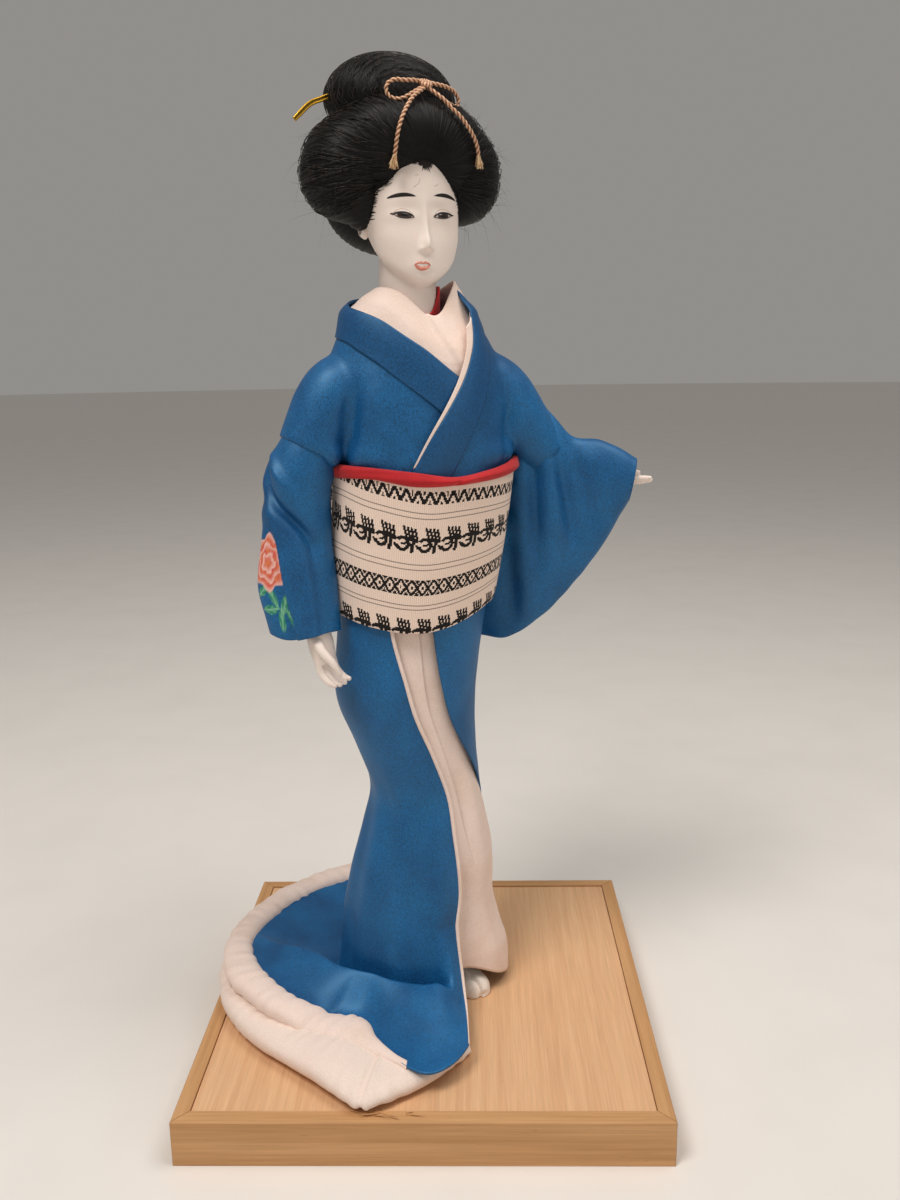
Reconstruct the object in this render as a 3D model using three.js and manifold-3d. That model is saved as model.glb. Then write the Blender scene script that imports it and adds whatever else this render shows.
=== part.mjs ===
// Japanese costume doll on a framed wooden stand.
// Millimetres, +Z up, front towards -Y, origin at the middle of the stand's underside.
import * as THREE from 'three';
import { mergeVertices } from 'three/addons/utils/BufferGeometryUtils.js';
import Module from 'manifold-3d';

const wasm = await Module();
wasm.setup();

const RAD = Math.PI / 180;

// Overall sizes
const BASE_WIDTH = 200;
const BASE_DEPTH = 200;
const FIGURE_HEIGHT = 414;

// Clearance between pieces that touch
const FIT = 0.3;

// Stand
const RAIL_HEIGHT = 20;
const RAIL_FACE = 6.5;
const RAIL_LEDGE = 4;
const RAIL_EASE = 0.6;
const DECK_THICKNESS = 4;
const DECK_DROP = 0.8;
const DECK_TOP = RAIL_HEIGHT - DECK_DROP;

// Where the figure stands on the deck, and which way its body and its head face
const FIGURE_X = -4;
const FIGURE_Y = 7;
const FIGURE_TURN = 18 * RAD;
const HEAD_X = -4;
const HEAD_Y = 3;
const HEAD_TURN = 28 * RAD;
const FOOT_TURN = 27 * RAD;

// The figure is drawn at this height above the deck and scaled to FIGURE_HEIGHT
const DRAWN_HEIGHT = 414;
const SCALE = FIGURE_HEIGHT / DRAWN_HEIGHT;

// Cloth, wire and joints
const CLOTH = 1.6;
const LINING = 1.2;
const OBI_CLOTH = 2.4;
const OBI_SEAT = 0.8;
const UNDER_SEAT = 1.5;
const WIRE_RADIUS = 1.3;
const CLINCH = 16;
const NECK_RADIUS = 12.2;
const PIN_RADIUS = 1.6;
const CORD_RADIUS = 1.1;
const ROLL_RADIUS = 5.5;

// Heights above the deck
const CORE_FOOT = 129;
const CORE_TOP = 287;
const SKIRT_TOP = 190;
const TRAIN_TOP = 40;
const OBI_BOTTOM = 179;
const OBI_TOP = 244.5;
const NECKLINE = 311;
const NECKLINE_DROP = 20;
const NECK_FOOT = 270;
const CHEST_LEVELS = [SKIRT_TOP + 2 * FIT, 213, 232, OBI_TOP, 258];

// Facets round a garment, a limb and a cord
const GARMENT_SIDES = 22;
const LIMB_SIDES = 8;
const CORE_SIDES = 12;
const CORD_SIDES = 6;
const WIRE_STEPS = 14;

const point = (x, y, z) => new THREE.Vector3(x, y, z);

// Joining and cutting

function solid(geometry) {
  const bare = new THREE.BufferGeometry();
  bare.setAttribute('position', geometry.attributes.position.clone());
  bare.setIndex(geometry.index ? geometry.index.clone() : null);
  const welded = mergeVertices(bare, 1e-4);
  return new wasm.Manifold(new wasm.Mesh({
    numProp: 3,
    vertProperties: new Float32Array(welded.attributes.position.array),
    triVerts: new Uint32Array(welded.index.array),
  }));
}

function toGeometry(shape) {
  const mesh = shape.getMesh();
  const geometry = new THREE.BufferGeometry();
  geometry.setAttribute('position', new THREE.BufferAttribute(new Float32Array(mesh.vertProperties), 3));
  geometry.setIndex(new THREE.BufferAttribute(new Uint32Array(mesh.triVerts), 1));
  return geometry;
}

const moved = (shape, matrix) => solid(toGeometry(shape).applyMatrix4(matrix));
const shift = (place) => new THREE.Matrix4().makeTranslation(place.x, place.y, place.z);

const join = (...shapes) => shapes.reduce((sum, shape) => sum.add(shape));
const cut = (shape, ...tools) => tools.reduce((left, tool) => left.subtract(tool), shape);

// Closed skin from points and triangles, turned so that it faces outwards.
function skin(points, faces) {
  let volume = 0;
  for (let i = 0; i < faces.length; i += 3) {
    const [a, b, c] = [points[faces[i]], points[faces[i + 1]], points[faces[i + 2]]];
    volume += a.dot(b.clone().cross(c));
  }
  const index = volume < 0 ? faces.slice().reverse() : faces;
  const geometry = new THREE.BufferGeometry().setFromPoints(points);
  geometry.setIndex(index);
  return solid(geometry);
}

// Skin over a row of closed rings, with a fan at each end.
function loft(rings) {
  const sides = rings[0].length;
  const points = rings.flat();
  const faces = [];
  for (let i = 0; i + 1 < rings.length; i += 1) {
    for (let j = 0; j < sides; j += 1) {
      const k = (j + 1) % sides;
      const low = i * sides;
      const high = low + sides;
      faces.push(low + j, low + k, high + k, low + j, high + k, high + j);
    }
  }
  const middle = (ring) => ring.reduce((sum, p) => sum.add(p), point(0, 0, 0)).divideScalar(sides);
  const top = (rings.length - 1) * sides;
  const first = points.push(middle(rings[0])) - 1;
  const last = points.push(middle(rings[rings.length - 1])) - 1;
  for (let j = 0; j < sides; j += 1) {
    const k = (j + 1) % sides;
    faces.push(first, k, j, last, top + j, top + k);
  }
  return skin(points, faces);
}

// Solid between two surfaces of the same two parameters, open along u or closed round it.
function shell(outer, inner, nu, nv, closed) {
  const columns = closed ? nu : nu + 1;
  const points = [];
  for (const surface of [outer, inner]) {
    for (let j = 0; j <= nv; j += 1) {
      for (let i = 0; i < columns; i += 1) {
        points.push(surface(i / nu, j / nv));
      }
    }
  }
  const layer = columns * (nv + 1);
  const at = (side, i, j) => side * layer + j * columns + (i % columns);
  const faces = [];
  const quad = (a, b, c, d) => faces.push(a, b, c, a, c, d);
  for (let i = 0; i < nu; i += 1) {
    for (let j = 0; j < nv; j += 1) {
      quad(at(0, i, j), at(0, i + 1, j), at(0, i + 1, j + 1), at(0, i, j + 1));
      quad(at(1, i, j), at(1, i, j + 1), at(1, i + 1, j + 1), at(1, i + 1, j));
    }
    quad(at(1, i, 0), at(1, i + 1, 0), at(0, i + 1, 0), at(0, i, 0));
    quad(at(0, i, nv), at(0, i + 1, nv), at(1, i + 1, nv), at(1, i, nv));
  }
  for (let j = 0; j < nv && !closed; j += 1) {
    quad(at(0, 0, j), at(0, 0, j + 1), at(1, 0, j + 1), at(1, 0, j));
    quad(at(1, nu, j), at(1, nu, j + 1), at(0, nu, j + 1), at(0, nu, j));
  }
  return skin(points, faces);
}

// The same surface moved inwards along its own normal.
function inset(surface, depth) {
  const step = 1e-3;
  return (u, v) => {
    const [u0, u1] = [Math.max(0, u - step), Math.min(1, u + step)];
    const [v0, v1] = [Math.max(0, v - step), Math.min(1, v + step)];
    const along = surface(u1, v).sub(surface(u0, v));
    const down = surface(u, v1).sub(surface(u, v0));
    const normal = along.cross(down).normalize();
    return surface(u, v).addScaledVector(normal, -depth);
  };
}

// Rounded limb along a curve: each radius pair lies along and across a chosen direction.
function limb(path, radii, steps, sides, across = point(0, 1, 0)) {
  const curve = new THREE.CatmullRomCurve3(path, false, 'centripetal');
  const size = stations(radii.map((pair, i) => [i / (radii.length - 1), ...pair]));
  const rings = [];
  for (let i = 0; i <= steps; i += 1) {
    const t = i / steps;
    const tangent = curve.getTangent(t);
    const wide = across.clone().cross(tangent).normalize();
    const deep = tangent.clone().cross(wide).normalize();
    const [a, b] = size(t);
    rings.push(turnAround(sides, (angle) => curve.getPoint(t)
      .addScaledVector(wide, a * Math.cos(angle))
      .addScaledVector(deep, b * Math.sin(angle))));
  }
  return loft(rings);
}

function turnAround(sides, place) {
  return Array.from({ length: sides }, (_, i) => place((2 * Math.PI * i) / sides));
}

// Smooth curve through rows of [position, value, value...].
function stations(rows) {
  const places = rows.map((row) => row[0]);
  const values = rows.flatMap((row) => row.slice(1));
  const curve = new THREE.CubicInterpolant(places, values, rows[0].length - 1);
  return (t) => Array.from(curve.evaluate(t));
}

const OBLIQUE = point(0.31, 0.9, 0.3);

function round(path, radius, steps, sides) {
  return limb(path, [[radius, radius], [radius, radius]], steps, sides, OBLIQUE);
}

const evenly = (radii, out = 0) => radii.map((r) => [r + out, r + out]);

function blob(centre, half, turn = 0, sides = 12) {
  const geometry = new THREE.SphereGeometry(1, sides, Math.round(sides * 0.7));
  geometry.rotateX(Math.PI / 2);
  geometry.scale(half.x, half.y, half.z);
  geometry.rotateZ(turn);
  geometry.translate(centre.x, centre.y, centre.z);
  return solid(geometry);
}

function rod(bottom, top, radius, sides = 16) {
  return loft([bottom, top].map((z) => turnAround(sides, (angle) => point(
    radius * Math.cos(angle), radius * Math.sin(angle), z))));
}

// Materials and placing

const finish = (color, roughness, metalness = 0) => () => new THREE.MeshStandardMaterial({
  color, roughness, metalness });
const PLYWOOD = finish(0xcfb184, 0.7);
const RAIL_WOOD = finish(0xb98f5c, 0.7);
const STEEL = finish(0x8d9094, 0.4, 0.9);
const STRAW = finish(0xb9a36d, 0.95);
const SKIN = finish(0xf3e6dc, 0.6);
const EYE = finish(0x2b201c, 0.15);
const HAIR = finish(0x14120f, 0.5);
const GOLD_CORD = finish(0xb67a3a, 0.5);
const GOLD = finish(0xd8a53a, 0.35, 0.6);
const BLUE_SATIN = finish(0x2f5f9e, 0.45);
const CREAM = finish(0xe9dfc8, 0.8);
const RED = finish(0xb3262a, 0.7);
const BROCADE = finish(0xd9cba6, 0.7);
const COTTON = finish(0xf4f1ea, 0.9);

const model = new THREE.Group();
const figure = new THREE.Group();
figure.position.set(FIGURE_X, FIGURE_Y, DECK_TOP);
figure.rotation.z = FIGURE_TURN;
const topHalf = new THREE.Group();
topHalf.position.set(HEAD_X, HEAD_Y, DECK_TOP);
topHalf.rotation.z = HEAD_TURN;
model.add(figure, topHalf);

function add(group, name, shape, material) {
  const geometry = toGeometry(shape);
  if (group !== model) {
    geometry.scale(SCALE, SCALE, SCALE);
  }
  geometry.computeVertexNormals();
  const mesh = new THREE.Mesh(geometry, material());
  mesh.name = name;
  group.add(mesh);
  return mesh;
}

// A point of the figure, seen from the stand.
function onStand(place) {
  const at = place.clone().multiplyScalar(SCALE);
  return at.applyAxisAngle(point(0, 0, 1), FIGURE_TURN).add(figure.position);
}

// Outline of the dressed body: rows of [height, middle x, middle y, half width, half depth].
const bodyRow = stations([
  [20, -1, 1, 37, 34],
  [40, -1, 1, 35.5, 32.5],
  [66, 1.5, 0, 32.5, 29.5],
  [81, 2.5, 0, 29, 27.5],
  [99, 3, 0, 25.5, 25.5],
  [121, -1, 0.5, 28, 26.5],
  [143, -5, 1, 32, 27.5],
  [178, -2, 0.5, 33.5, 27.5],
  [213, 1.5, -1.5, 36, 28],
  [247, 4.2, -3.5, 37.5, 28.5],
  [266, 3, -3.5, 41, 28],
  [281, 2, -3, 41.5, 26.5],
  [296, 1, -3, 35.5, 24],
  [306, 0, -3.3, 30.5, 21.5],
  [317, -1, -3.6, 25.5, 18.5],
]);

// A place on the dressed body: the angle runs from the front towards the doll's left.
function body(angle, z, out) {
  const [x, y, wide, deep] = bodyRow(z);
  return point(x + (wide + out) * Math.sin(angle), y - (deep + out) * Math.cos(angle), z);
}

const bell = (x, middle, width) => Math.exp(-(((x - middle) / width) ** 2));
const mix = (a, b, t) => a + (b - a) * t;
const wrap = (angle) => Math.atan2(Math.sin(angle), Math.cos(angle));

// Limbs: shoulder to wrist, and hip to ankle
const ARM_RIGHT = [point(-20, -3, 284), point(-33, -4, 280), point(-46, -4, 256), point(-55, -3, 226),
  point(-49.2, -12.8, 193), point(-47.6, -13, 183)];
const ARM_LEFT = [point(20, -3, 284), point(35, -4.5, 281), point(50, -6, 263), point(61, -7.6, 249.5),
  point(70.5, -9.8, 245), point(78, -12.5, 243)];
const HAND_RIGHT = point(-42, -13.5, 152);
const HAND_LEFT = point(107, -22.8, 235.5);
const ANKLE_LEFT = point(7.4, -0.6, 0);
const ANKLE_RIGHT = point(-9, -4, 0);
const ANKLE_TOP = 24.4;
const legPath = (ankle, knee, hip) => [ankle.clone().setZ(ANKLE_TOP + 2 * FIT), knee,
  hip.clone().setZ(hip.z - 10), hip];
const LEG_LEFT = legPath(ANKLE_LEFT, point(12, -1, 80), point(11.5, 0, CORE_FOOT - FIT));
const LEG_RIGHT = legPath(ANKLE_RIGHT, point(-6.5, -2, 80), point(-12.5, 0, CORE_FOOT - FIT));
const ANKLE_BONE = 12;
const CORE_WIRE = 30;
const HAND_WIRE = 9;

function armWirePath(arm, hand) {
  const wrist = arm[arm.length - 1];
  const end = wrist.clone().addScaledVector(hand.clone().sub(wrist).normalize(), HAND_WIRE);
  return [...arm, end];
}

function legWirePath(ankle, leg) {
  const bend = 3 * WIRE_RADIUS;
  const under = -DECK_THICKNESS / SCALE - FIT;
  const low = under - bend;
  const hip = leg[leg.length - 1];
  const clinched = [point(ankle.x + CLINCH, ankle.y, low), point(ankle.x + bend, ankle.y, low)];
  const upright = [under, 0, ANKLE_BONE].map((z) => ankle.clone().setZ(z));
  return [...clinched, ...upright, ...leg, hip.clone().setZ(hip.z + CORE_WIRE)];
}

const wire = (path, extra) => round(path, WIRE_RADIUS + extra, WIRE_STEPS, CORD_SIDES);

// Hole that a wire runs in, a little wider and longer than the wire.
function wireHole(path) {
  const end = WIRE_RADIUS + 2 * FIT;
  const ends = [path[0], path[path.length - 1]].map((p) => blob(p, point(end, end, end), 0, 6));
  return join(wire(path, FIT), ...ends);
}

const ARM_WIRES = { left: armWirePath(ARM_LEFT, HAND_LEFT), right: armWirePath(ARM_RIGHT, HAND_RIGHT) };
const LEG_WIRES = { left: legWirePath(ANKLE_LEFT, LEG_LEFT), right: legWirePath(ANKLE_RIGHT, LEG_RIGHT) };
const SIDES = ['left', 'right'];

// Stand

function rail(length, depth) {
  const reach = RAIL_FACE + RAIL_LEDGE;
  const ledge = DECK_TOP - DECK_THICKNESS - FIT;
  const outline = new THREE.Shape();
  outline.moveTo(0, 0);
  outline.lineTo(reach, 0);
  outline.lineTo(reach, ledge);
  outline.lineTo(RAIL_FACE, ledge);
  outline.lineTo(RAIL_FACE, RAIL_HEIGHT);
  outline.lineTo(RAIL_EASE, RAIL_HEIGHT);
  outline.lineTo(0, RAIL_HEIGHT - RAIL_EASE);
  outline.closePath();
  const bar = new THREE.ExtrudeGeometry(outline, { depth: length, bevelEnabled: false });
  const places = bar.attributes.position;
  for (let i = 0; i < places.count; i += 1) {
    const inward = places.getX(i);
    const mitre = inward + FIT / 2;
    const along = places.getZ(i) > length / 2 ? length / 2 - mitre : mitre - length / 2;
    places.setXYZ(i, along, inward - depth / 2, places.getY(i));
  }
  return solid(bar);
}

function buildStand() {
  const rails = { front: 0, right: 90, back: 180, left: 270 };
  for (const [name, turn] of Object.entries(rails)) {
    const across = turn % 180 !== 0;
    const shape = across ? rail(BASE_DEPTH, BASE_WIDTH) : rail(BASE_WIDTH, BASE_DEPTH);
    const mesh = add(model, `base_rail_${name}`, shape, RAIL_WOOD);
    mesh.rotation.z = turn * RAD;
  }
  const border = 2 * (RAIL_FACE + FIT);
  const board = new THREE.BoxGeometry(BASE_WIDTH - border, BASE_DEPTH - border, DECK_THICKNESS);
  board.translate(0, 0, DECK_TOP - DECK_THICKNESS / 2);
  const holes = [ANKLE_LEFT, ANKLE_RIGHT].map((ankle) => {
    const at = onStand(ankle);
    return moved(rod(0, RAIL_HEIGHT, WIRE_RADIUS * SCALE + 2 * FIT), shift(at.setZ(0)));
  });
  add(model, 'base_deck', cut(solid(board), ...holes), PLYWOOD);
}

// Stuffed body, limbs, hands and feet

const UNDER_LAYERS = CLOTH + UNDER_SEAT + LINING + 2 * OBI_SEAT;
const OVER_LAYERS = CLOTH + OBI_SEAT + 2 * FIT;
const coreDepth = (z) => (z < SKIRT_TOP + 3 ? UNDER_LAYERS : OVER_LAYERS);

function buildCore() {
  const levels = [CORE_FOOT, 148, 168, 190, 197, 213, 232, 250, 266, 279, CORE_TOP];
  const rings = levels.map((z) => turnAround(CORE_SIDES, (angle) => body(angle, z, -coreDepth(z))));
  rings.push(turnAround(CORE_SIDES, (angle) => body(angle, CORE_TOP + 4, -CLOTH - 14)));
  const socket = rod(NECK_FOOT - FIT, NECKLINE, NECK_RADIUS + 2 * FIT, 20);
  const tools = [moved(socket, shift(neckAxis()))];
  for (const side of SIDES) {
    tools.push(wireHole(ARM_WIRES[side]), wireHole(LEG_WIRES[side]));
  }
  add(figure, 'torso_core', cut(loft(rings), ...tools), STRAW);
}

// The neck's upright axis, seen from the figure.
function neckAxis() {
  const away = point(HEAD_X - FIGURE_X, HEAD_Y - FIGURE_Y, 0).divideScalar(SCALE);
  away.applyAxisAngle(point(0, 0, 1), -FIGURE_TURN);
  return away;
}

function coreEnvelope() {
  const levels = [247, 258, 272, 281, CORE_TOP, CORE_TOP + 12];
  return loft(levels.map((z) => turnAround(GARMENT_SIDES, (angle) => body(angle, z, -CLOTH))));
}

// The wound legs fill what the cloth leaves of these radii.
const LEG_GIRTH = [9.8, 12.2, 12.4, 12.8, 14.6];
const LEG_LAYERS = CLOTH + UNDER_SEAT + LINING;
const ARMS = { left: ARM_LEFT, right: ARM_RIGHT };
const ARM_RADII = [9, 9, 5, 4.4, 3.8];

function arm(side, out) {
  return limb(ARMS[side], evenly(ARM_RADII, out), 10, LIMB_SIDES, OBLIQUE);
}

function buildLimbs() {
  const legs = { left: LEG_LEFT, right: LEG_RIGHT };
  const legRadii = evenly(LEG_GIRTH, -LEG_LAYERS);
  for (const side of SIDES) {
    const hole = wireHole(ARM_WIRES[side]);
    add(figure, `arm_wire_${side}`, wire(ARM_WIRES[side], 0), STEEL);
    add(figure, `arm_wrap_${side}`, cut(arm(side, 0), coreEnvelope(), hole), STRAW);
    add(figure, `leg_wire_${side}`, wire(LEG_WIRES[side], 0), STEEL);
    const leg = limb(legs[side], legRadii, 8, LIMB_SIDES);
    add(figure, `leg_wrap_${side}`, cut(leg, wireHole(LEG_WIRES[side])), STRAW);
  }
}

// Hand along -Z from the wrist, palm towards -Y, thumb towards +X or -X.
function hand(thumbSide) {
  const palm = limb([point(0, 0, 0), point(0, 0, -5), point(0, -0.3, -14)],
    [[3.4, 3], [4.4, 2.9], [4.6, 2.4], [4, 1.8]], 6, LIMB_SIDES);
  const fingers = [-3.2, -1.1, 1.1, 3.2].map((x, i) => {
    const reach = 29 - 1.5 * Math.abs(i - 1.6);
    return limb([point(x, -0.2, -12), point(x * 1.02, -0.6, -20), point(x * 0.95, -2.2, -reach)],
      evenly([1.25, 1.2, 0.8]), 3, 5);
  });
  const thumb = limb([point(3 * thumbSide, -0.6, -4), point(5.6 * thumbSide, -2, -10),
    point(4.8 * thumbSide, -3.4, -15)], evenly([1.6, 1.3, 0.9]), 3, 5);
  return join(palm, ...fingers, thumb);
}

function aim(shape, wrist, tip, spin) {
  const along = tip.clone().sub(wrist).normalize();
  const turn = new THREE.Quaternion().setFromUnitVectors(point(0, 0, -1), along);
  const twist = new THREE.Quaternion().setFromAxisAngle(point(0, 0, 1), spin);
  const start = wrist.clone().addScaledVector(along, FIT);
  return moved(shape, new THREE.Matrix4().compose(start, turn.multiply(twist), point(1, 1, 1)));
}

function buildHands() {
  const tips = { left: HAND_LEFT, right: HAND_RIGHT };
  const spins = { left: 90 * RAD, right: 35 * RAD };
  const thumbs = { left: -1, right: 1 };
  for (const side of SIDES) {
    const bore = rod(-HAND_WIRE - FIT, 1, WIRE_RADIUS + FIT, 12);
    const shape = cut(hand(thumbs[side]), bore);
    const wrist = ARMS[side][ARMS[side].length - 1];
    add(figure, `hand_${side}`, aim(shape, wrist, tips[side], spins[side]), SKIN);
  }
}

// Foot in a split-toed sock, sole on the deck, toes towards -Y.
function foot() {
  const rows = [[14, 3, 7], [11, 5.6, 14], [4, 6.5, 19], [-6, 7, 17], [-16, 7.8, 12.5], [-25, 7.4, 9.5],
    [-30, 5.6, 7.5], [-32, 2.6, 4.5]];
  const rings = rows.map(([y, wide, tall]) => turnAround(12, (angle) => point(
    wide * Math.cos(angle), y, FIT + tall * Math.max(0, Math.sin(angle)) ** 0.8)));
  const ankle = limb([point(0, 0, 10), point(0, 0, ANKLE_TOP)], [[6, 6], [5.4, 5.4]], 2, LIMB_SIDES);
  return join(loft(rings), ankle);
}

function buildFeet() {
  const ankles = { left: ANKLE_LEFT, right: ANKLE_RIGHT };
  for (const side of SIDES) {
    const place = new THREE.Matrix4().makeRotationZ(FOOT_TURN).setPosition(ankles[side]);
    const shape = cut(moved(foot(), place), wireHole(LEG_WIRES[side]));
    add(figure, `foot_${side}`, shape, COTTON);
  }
}

// Kimono

// The neckline dips at the front, where the two fronts cross.
const neckline = (angle) => NECKLINE - NECKLINE_DROP * bell(wrap(angle - 12 * RAD), 0, 40 * RAD);

function bodiceBody(out, extra) {
  const low = [CHEST_LEVELS[0] - extra, ...CHEST_LEVELS.slice(1)];
  const rings = low.map((z) => turnAround(GARMENT_SIDES, (angle) => body(angle, z, out)));
  const chest = CHEST_LEVELS[CHEST_LEVELS.length - 1];
  for (const v of [0.25, 0.5, 0.75, 1]) {
    const height = (angle) => mix(chest, neckline(angle) + extra, v);
    rings.push(turnAround(GARMENT_SIDES, (angle) => body(angle, height(angle), out)));
  }
  return loft(rings);
}

function upperArm(side, out, stretch) {
  const path = ARMS[side].slice(0, 3).map((p) => p.clone());
  const end = path[2].clone().sub(path[1]).normalize();
  path[2].addScaledVector(end, stretch);
  return limb(path, evenly([13, 14.5, 13.6], out), 5, 11, OBLIQUE);
}

function bodiceSolid(out, ends) {
  return join(bodiceBody(out, ends), ...SIDES.map((side) => upperArm(side, out, ends)));
}

function buildBodice() {
  add(figure, 'kimono_bodice', cut(bodiceSolid(0, 0), bodiceSolid(-CLOTH, 3)), BLUE_SATIN);
}

// Room that the obi and its scarf take, kept free by the sleeves.
function sashRoom() {
  const levels = [[165, 4], [OBI_BOTTOM, 4], [213, 4], [232, 4], [238, 9], [OBI_TOP, 9], [256, 8]];
  return loft(levels.map(([z, out]) => turnAround(GARMENT_SIDES, (angle) => body(angle, z, out))));
}

const sleeveTools = (side) => [bodiceSolid(FIT, FIT), sashRoom(), arm(side, FIT)];

// Hanging sleeve on the doll's right arm: an oval bag, open at the top and at the cuff.
function buildRightSleeve() {
  const path = [point(-46.5, -4, 255), point(-53, -3.5, 241), point(-55, -4, 221), point(-55, -7, 199),
    point(-53, -11.5, 182)];
  const size = (out, ends) => {
    const stretched = path.map((p) => p.clone());
    stretched[0].z += ends;
    stretched[path.length - 1].z -= ends;
    const radii = [[13.8, 13.6], [13.4, 13.4], [15, 12.6], [15.8, 11.4], [15, 10]];
    return limb(stretched, radii.map((pair) => pair.map((r) => r + out)), 8, 16, point(0.1, 1, 0.1));
  };
  const bag = cut(size(0, 0), size(-CLOTH, 2), ...sleeveTools('right'));
  add(figure, 'sleeve_right', bag, BLUE_SATIN);
}

// Sleeve on the doll's left arm: rows of [share, x, y, top, bottom, thickness, fullness at the bottom, lean].
const leftSleeveRow = stations([
  [0, 51, 3, 242, 166, 12, 0.6, 19],
  [0.16, 55, -4.6, 275, 166, 23, 0.45, 12],
  [0.32, 62, -7.2, 270, 175, 25, 0.42, 5],
  [0.5, 71, -9.6, 260, 189, 22, 0.45, 0],
  [0.75, 84, -14.5, 255, 207, 21, 0.55, 0],
  [1, 98, -20.2, 248, 229, 19.5, 0.95, 0],
]);

function leftSleeveRing(t, out) {
  const [x, y, top, bottom, thick, full, lean] = leftSleeveRow(t);
  const ahead = leftSleeveRow(Math.min(1, t + 0.01));
  const behind = leftSleeveRow(Math.max(0, t - 0.01));
  const along = point(ahead[0] - behind[0], ahead[1] - behind[1], 0).normalize();
  const across = point(-along.y, along.x, 0);
  const half = (top - bottom) / 2 + out;
  return turnAround(16, (angle) => {
    const rise = Math.cos(angle);
    const fullness = mix(full, 1, (rise + 1) / 2);
    const swing = Math.sin(angle);
    const side = (thick / 2 + out) * fullness * Math.sign(swing) * Math.abs(swing) ** 0.8;
    return point(x, y, (top + bottom) / 2 + half * rise).addScaledVector(across, side)
      .addScaledVector(along, -lean * (1 - rise) / 2);
  });
}

function buildLeftSleeve() {
  const steps = [0, 0.08, 0.16, 0.24, 0.34, 0.5, 0.66, 0.82, 1];
  const outer = loft(steps.map((t) => leftSleeveRing(t, 0)));
  const rings = steps.slice(1).map((t) => leftSleeveRing(t, -CLOTH));
  const last = rings[rings.length - 1];
  rings.push(last.map((p) => p.clone().add(point(3, -1.2, 0))));
  add(figure, 'sleeve_left', cut(outer, loft(rings), ...sleeveTools('left')), BLUE_SATIN);
}

// Front edges of the skirt: rows of [share of the length, angle of the upper edge, angle of the under edge].
const skirtEdge = stations([
  [0, -30, 1], [0.05, -26, 5], [0.148, -11, 17], [0.256, 0, 29], [0.37, 9.5, 44], [0.488, 15, 75],
  [0.55, 17, 88], [0.6, 15, 95], [0.75, 12, 100], [1, 1, 110],
]);
const COLUMN_SHARE = 0.6;

// Padded hem, seen from above: rows of [angle, distance of the upper roll, of the lower, lower radius share].
const hemRow = stations([
  [-240, 50, 58, 1], [-220, 64, 70, 1], [-200, 76, 82, 1], [-180, 82, 88, 1], [-160, 84, 90, 1],
  [-140, 84.5, 90.5, 1], [-120, 86, 91.5, 1], [-105, 88, 92.5, 1], [-92, 87, 92, 1], [-77, 82, 89.5, 1],
  [-58, 77, 87.5, 1], [-45, 73, 91, 1], [-36, 71, 97, 0.95], [-29, 72, 100, 0.85], [-20, 74, 90, 0.75],
  [-11, 70, 79, 0.65], [2, 62, 64, 0.6],
]);
const RAIL_EASING = 4;

// The roll lies on the deck, and is lifted where it crosses the rails.
function rollFoot(degrees) {
  const distance = hemRow(degrees)[1];
  const place = onStand(point(distance * Math.sin(degrees * RAD), -distance * Math.cos(degrees * RAD), 0));
  const spare = Math.min(BASE_WIDTH / 2 - Math.abs(place.x), BASE_DEPTH / 2 - Math.abs(place.y));
  const clear = RAIL_FACE + ROLL_RADIUS * SCALE;
  const lift = 1 - THREE.MathUtils.smoothstep(spare, clear, clear + RAIL_EASING);
  return FIT + (DECK_DROP * lift) / SCALE;
}

const lowerRadius = (degrees) => ROLL_RADIUS * hemRow(degrees)[2];

function upperRollHeight(degrees) {
  const [upper, lower] = hemRow(degrees);
  const reach = ROLL_RADIUS + lowerRadius(degrees) + 2.4 * FIT;
  const apart = Math.min(lower - upper, reach);
  const foot = rollFoot(degrees);
  const stacked = foot + lowerRadius(degrees) + Math.sqrt(reach ** 2 - apart ** 2);
  return Math.max(stacked, ROLL_RADIUS + foot);
}

// The tongue of the train at the front lies over the rolls.
const tongue = (degrees) => THREE.MathUtils.smoothstep(degrees, -33, -20);
const tongueReach = stations([[-34, 60], [-25, 70], [-16, 87], [-8, 87], [1, 74], [12, 52], [20, 46]]);
const TONGUE_HEIGHT = 1.5 * ROLL_RADIUS + CLOTH + 4 * FIT;
const HEM_SLACK = 2.6;

function trainReach(degrees) {
  const [upper] = hemRow(degrees);
  return mix(upper - ROLL_RADIUS - HEM_SLACK, tongueReach(degrees)[0], tongue(degrees));
}

const trainHem = (degrees) => mix(upperRollHeight(degrees) + CLOTH / 2, TONGUE_HEIGHT, tongue(degrees));
const RIDGE_DISTANCE = 43;
const RIDGE_RISE = 6;
const TRAIN_DIP = 5;
const FOLD_DEPTH = 1.1;
const FOLDS = 9;

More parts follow.
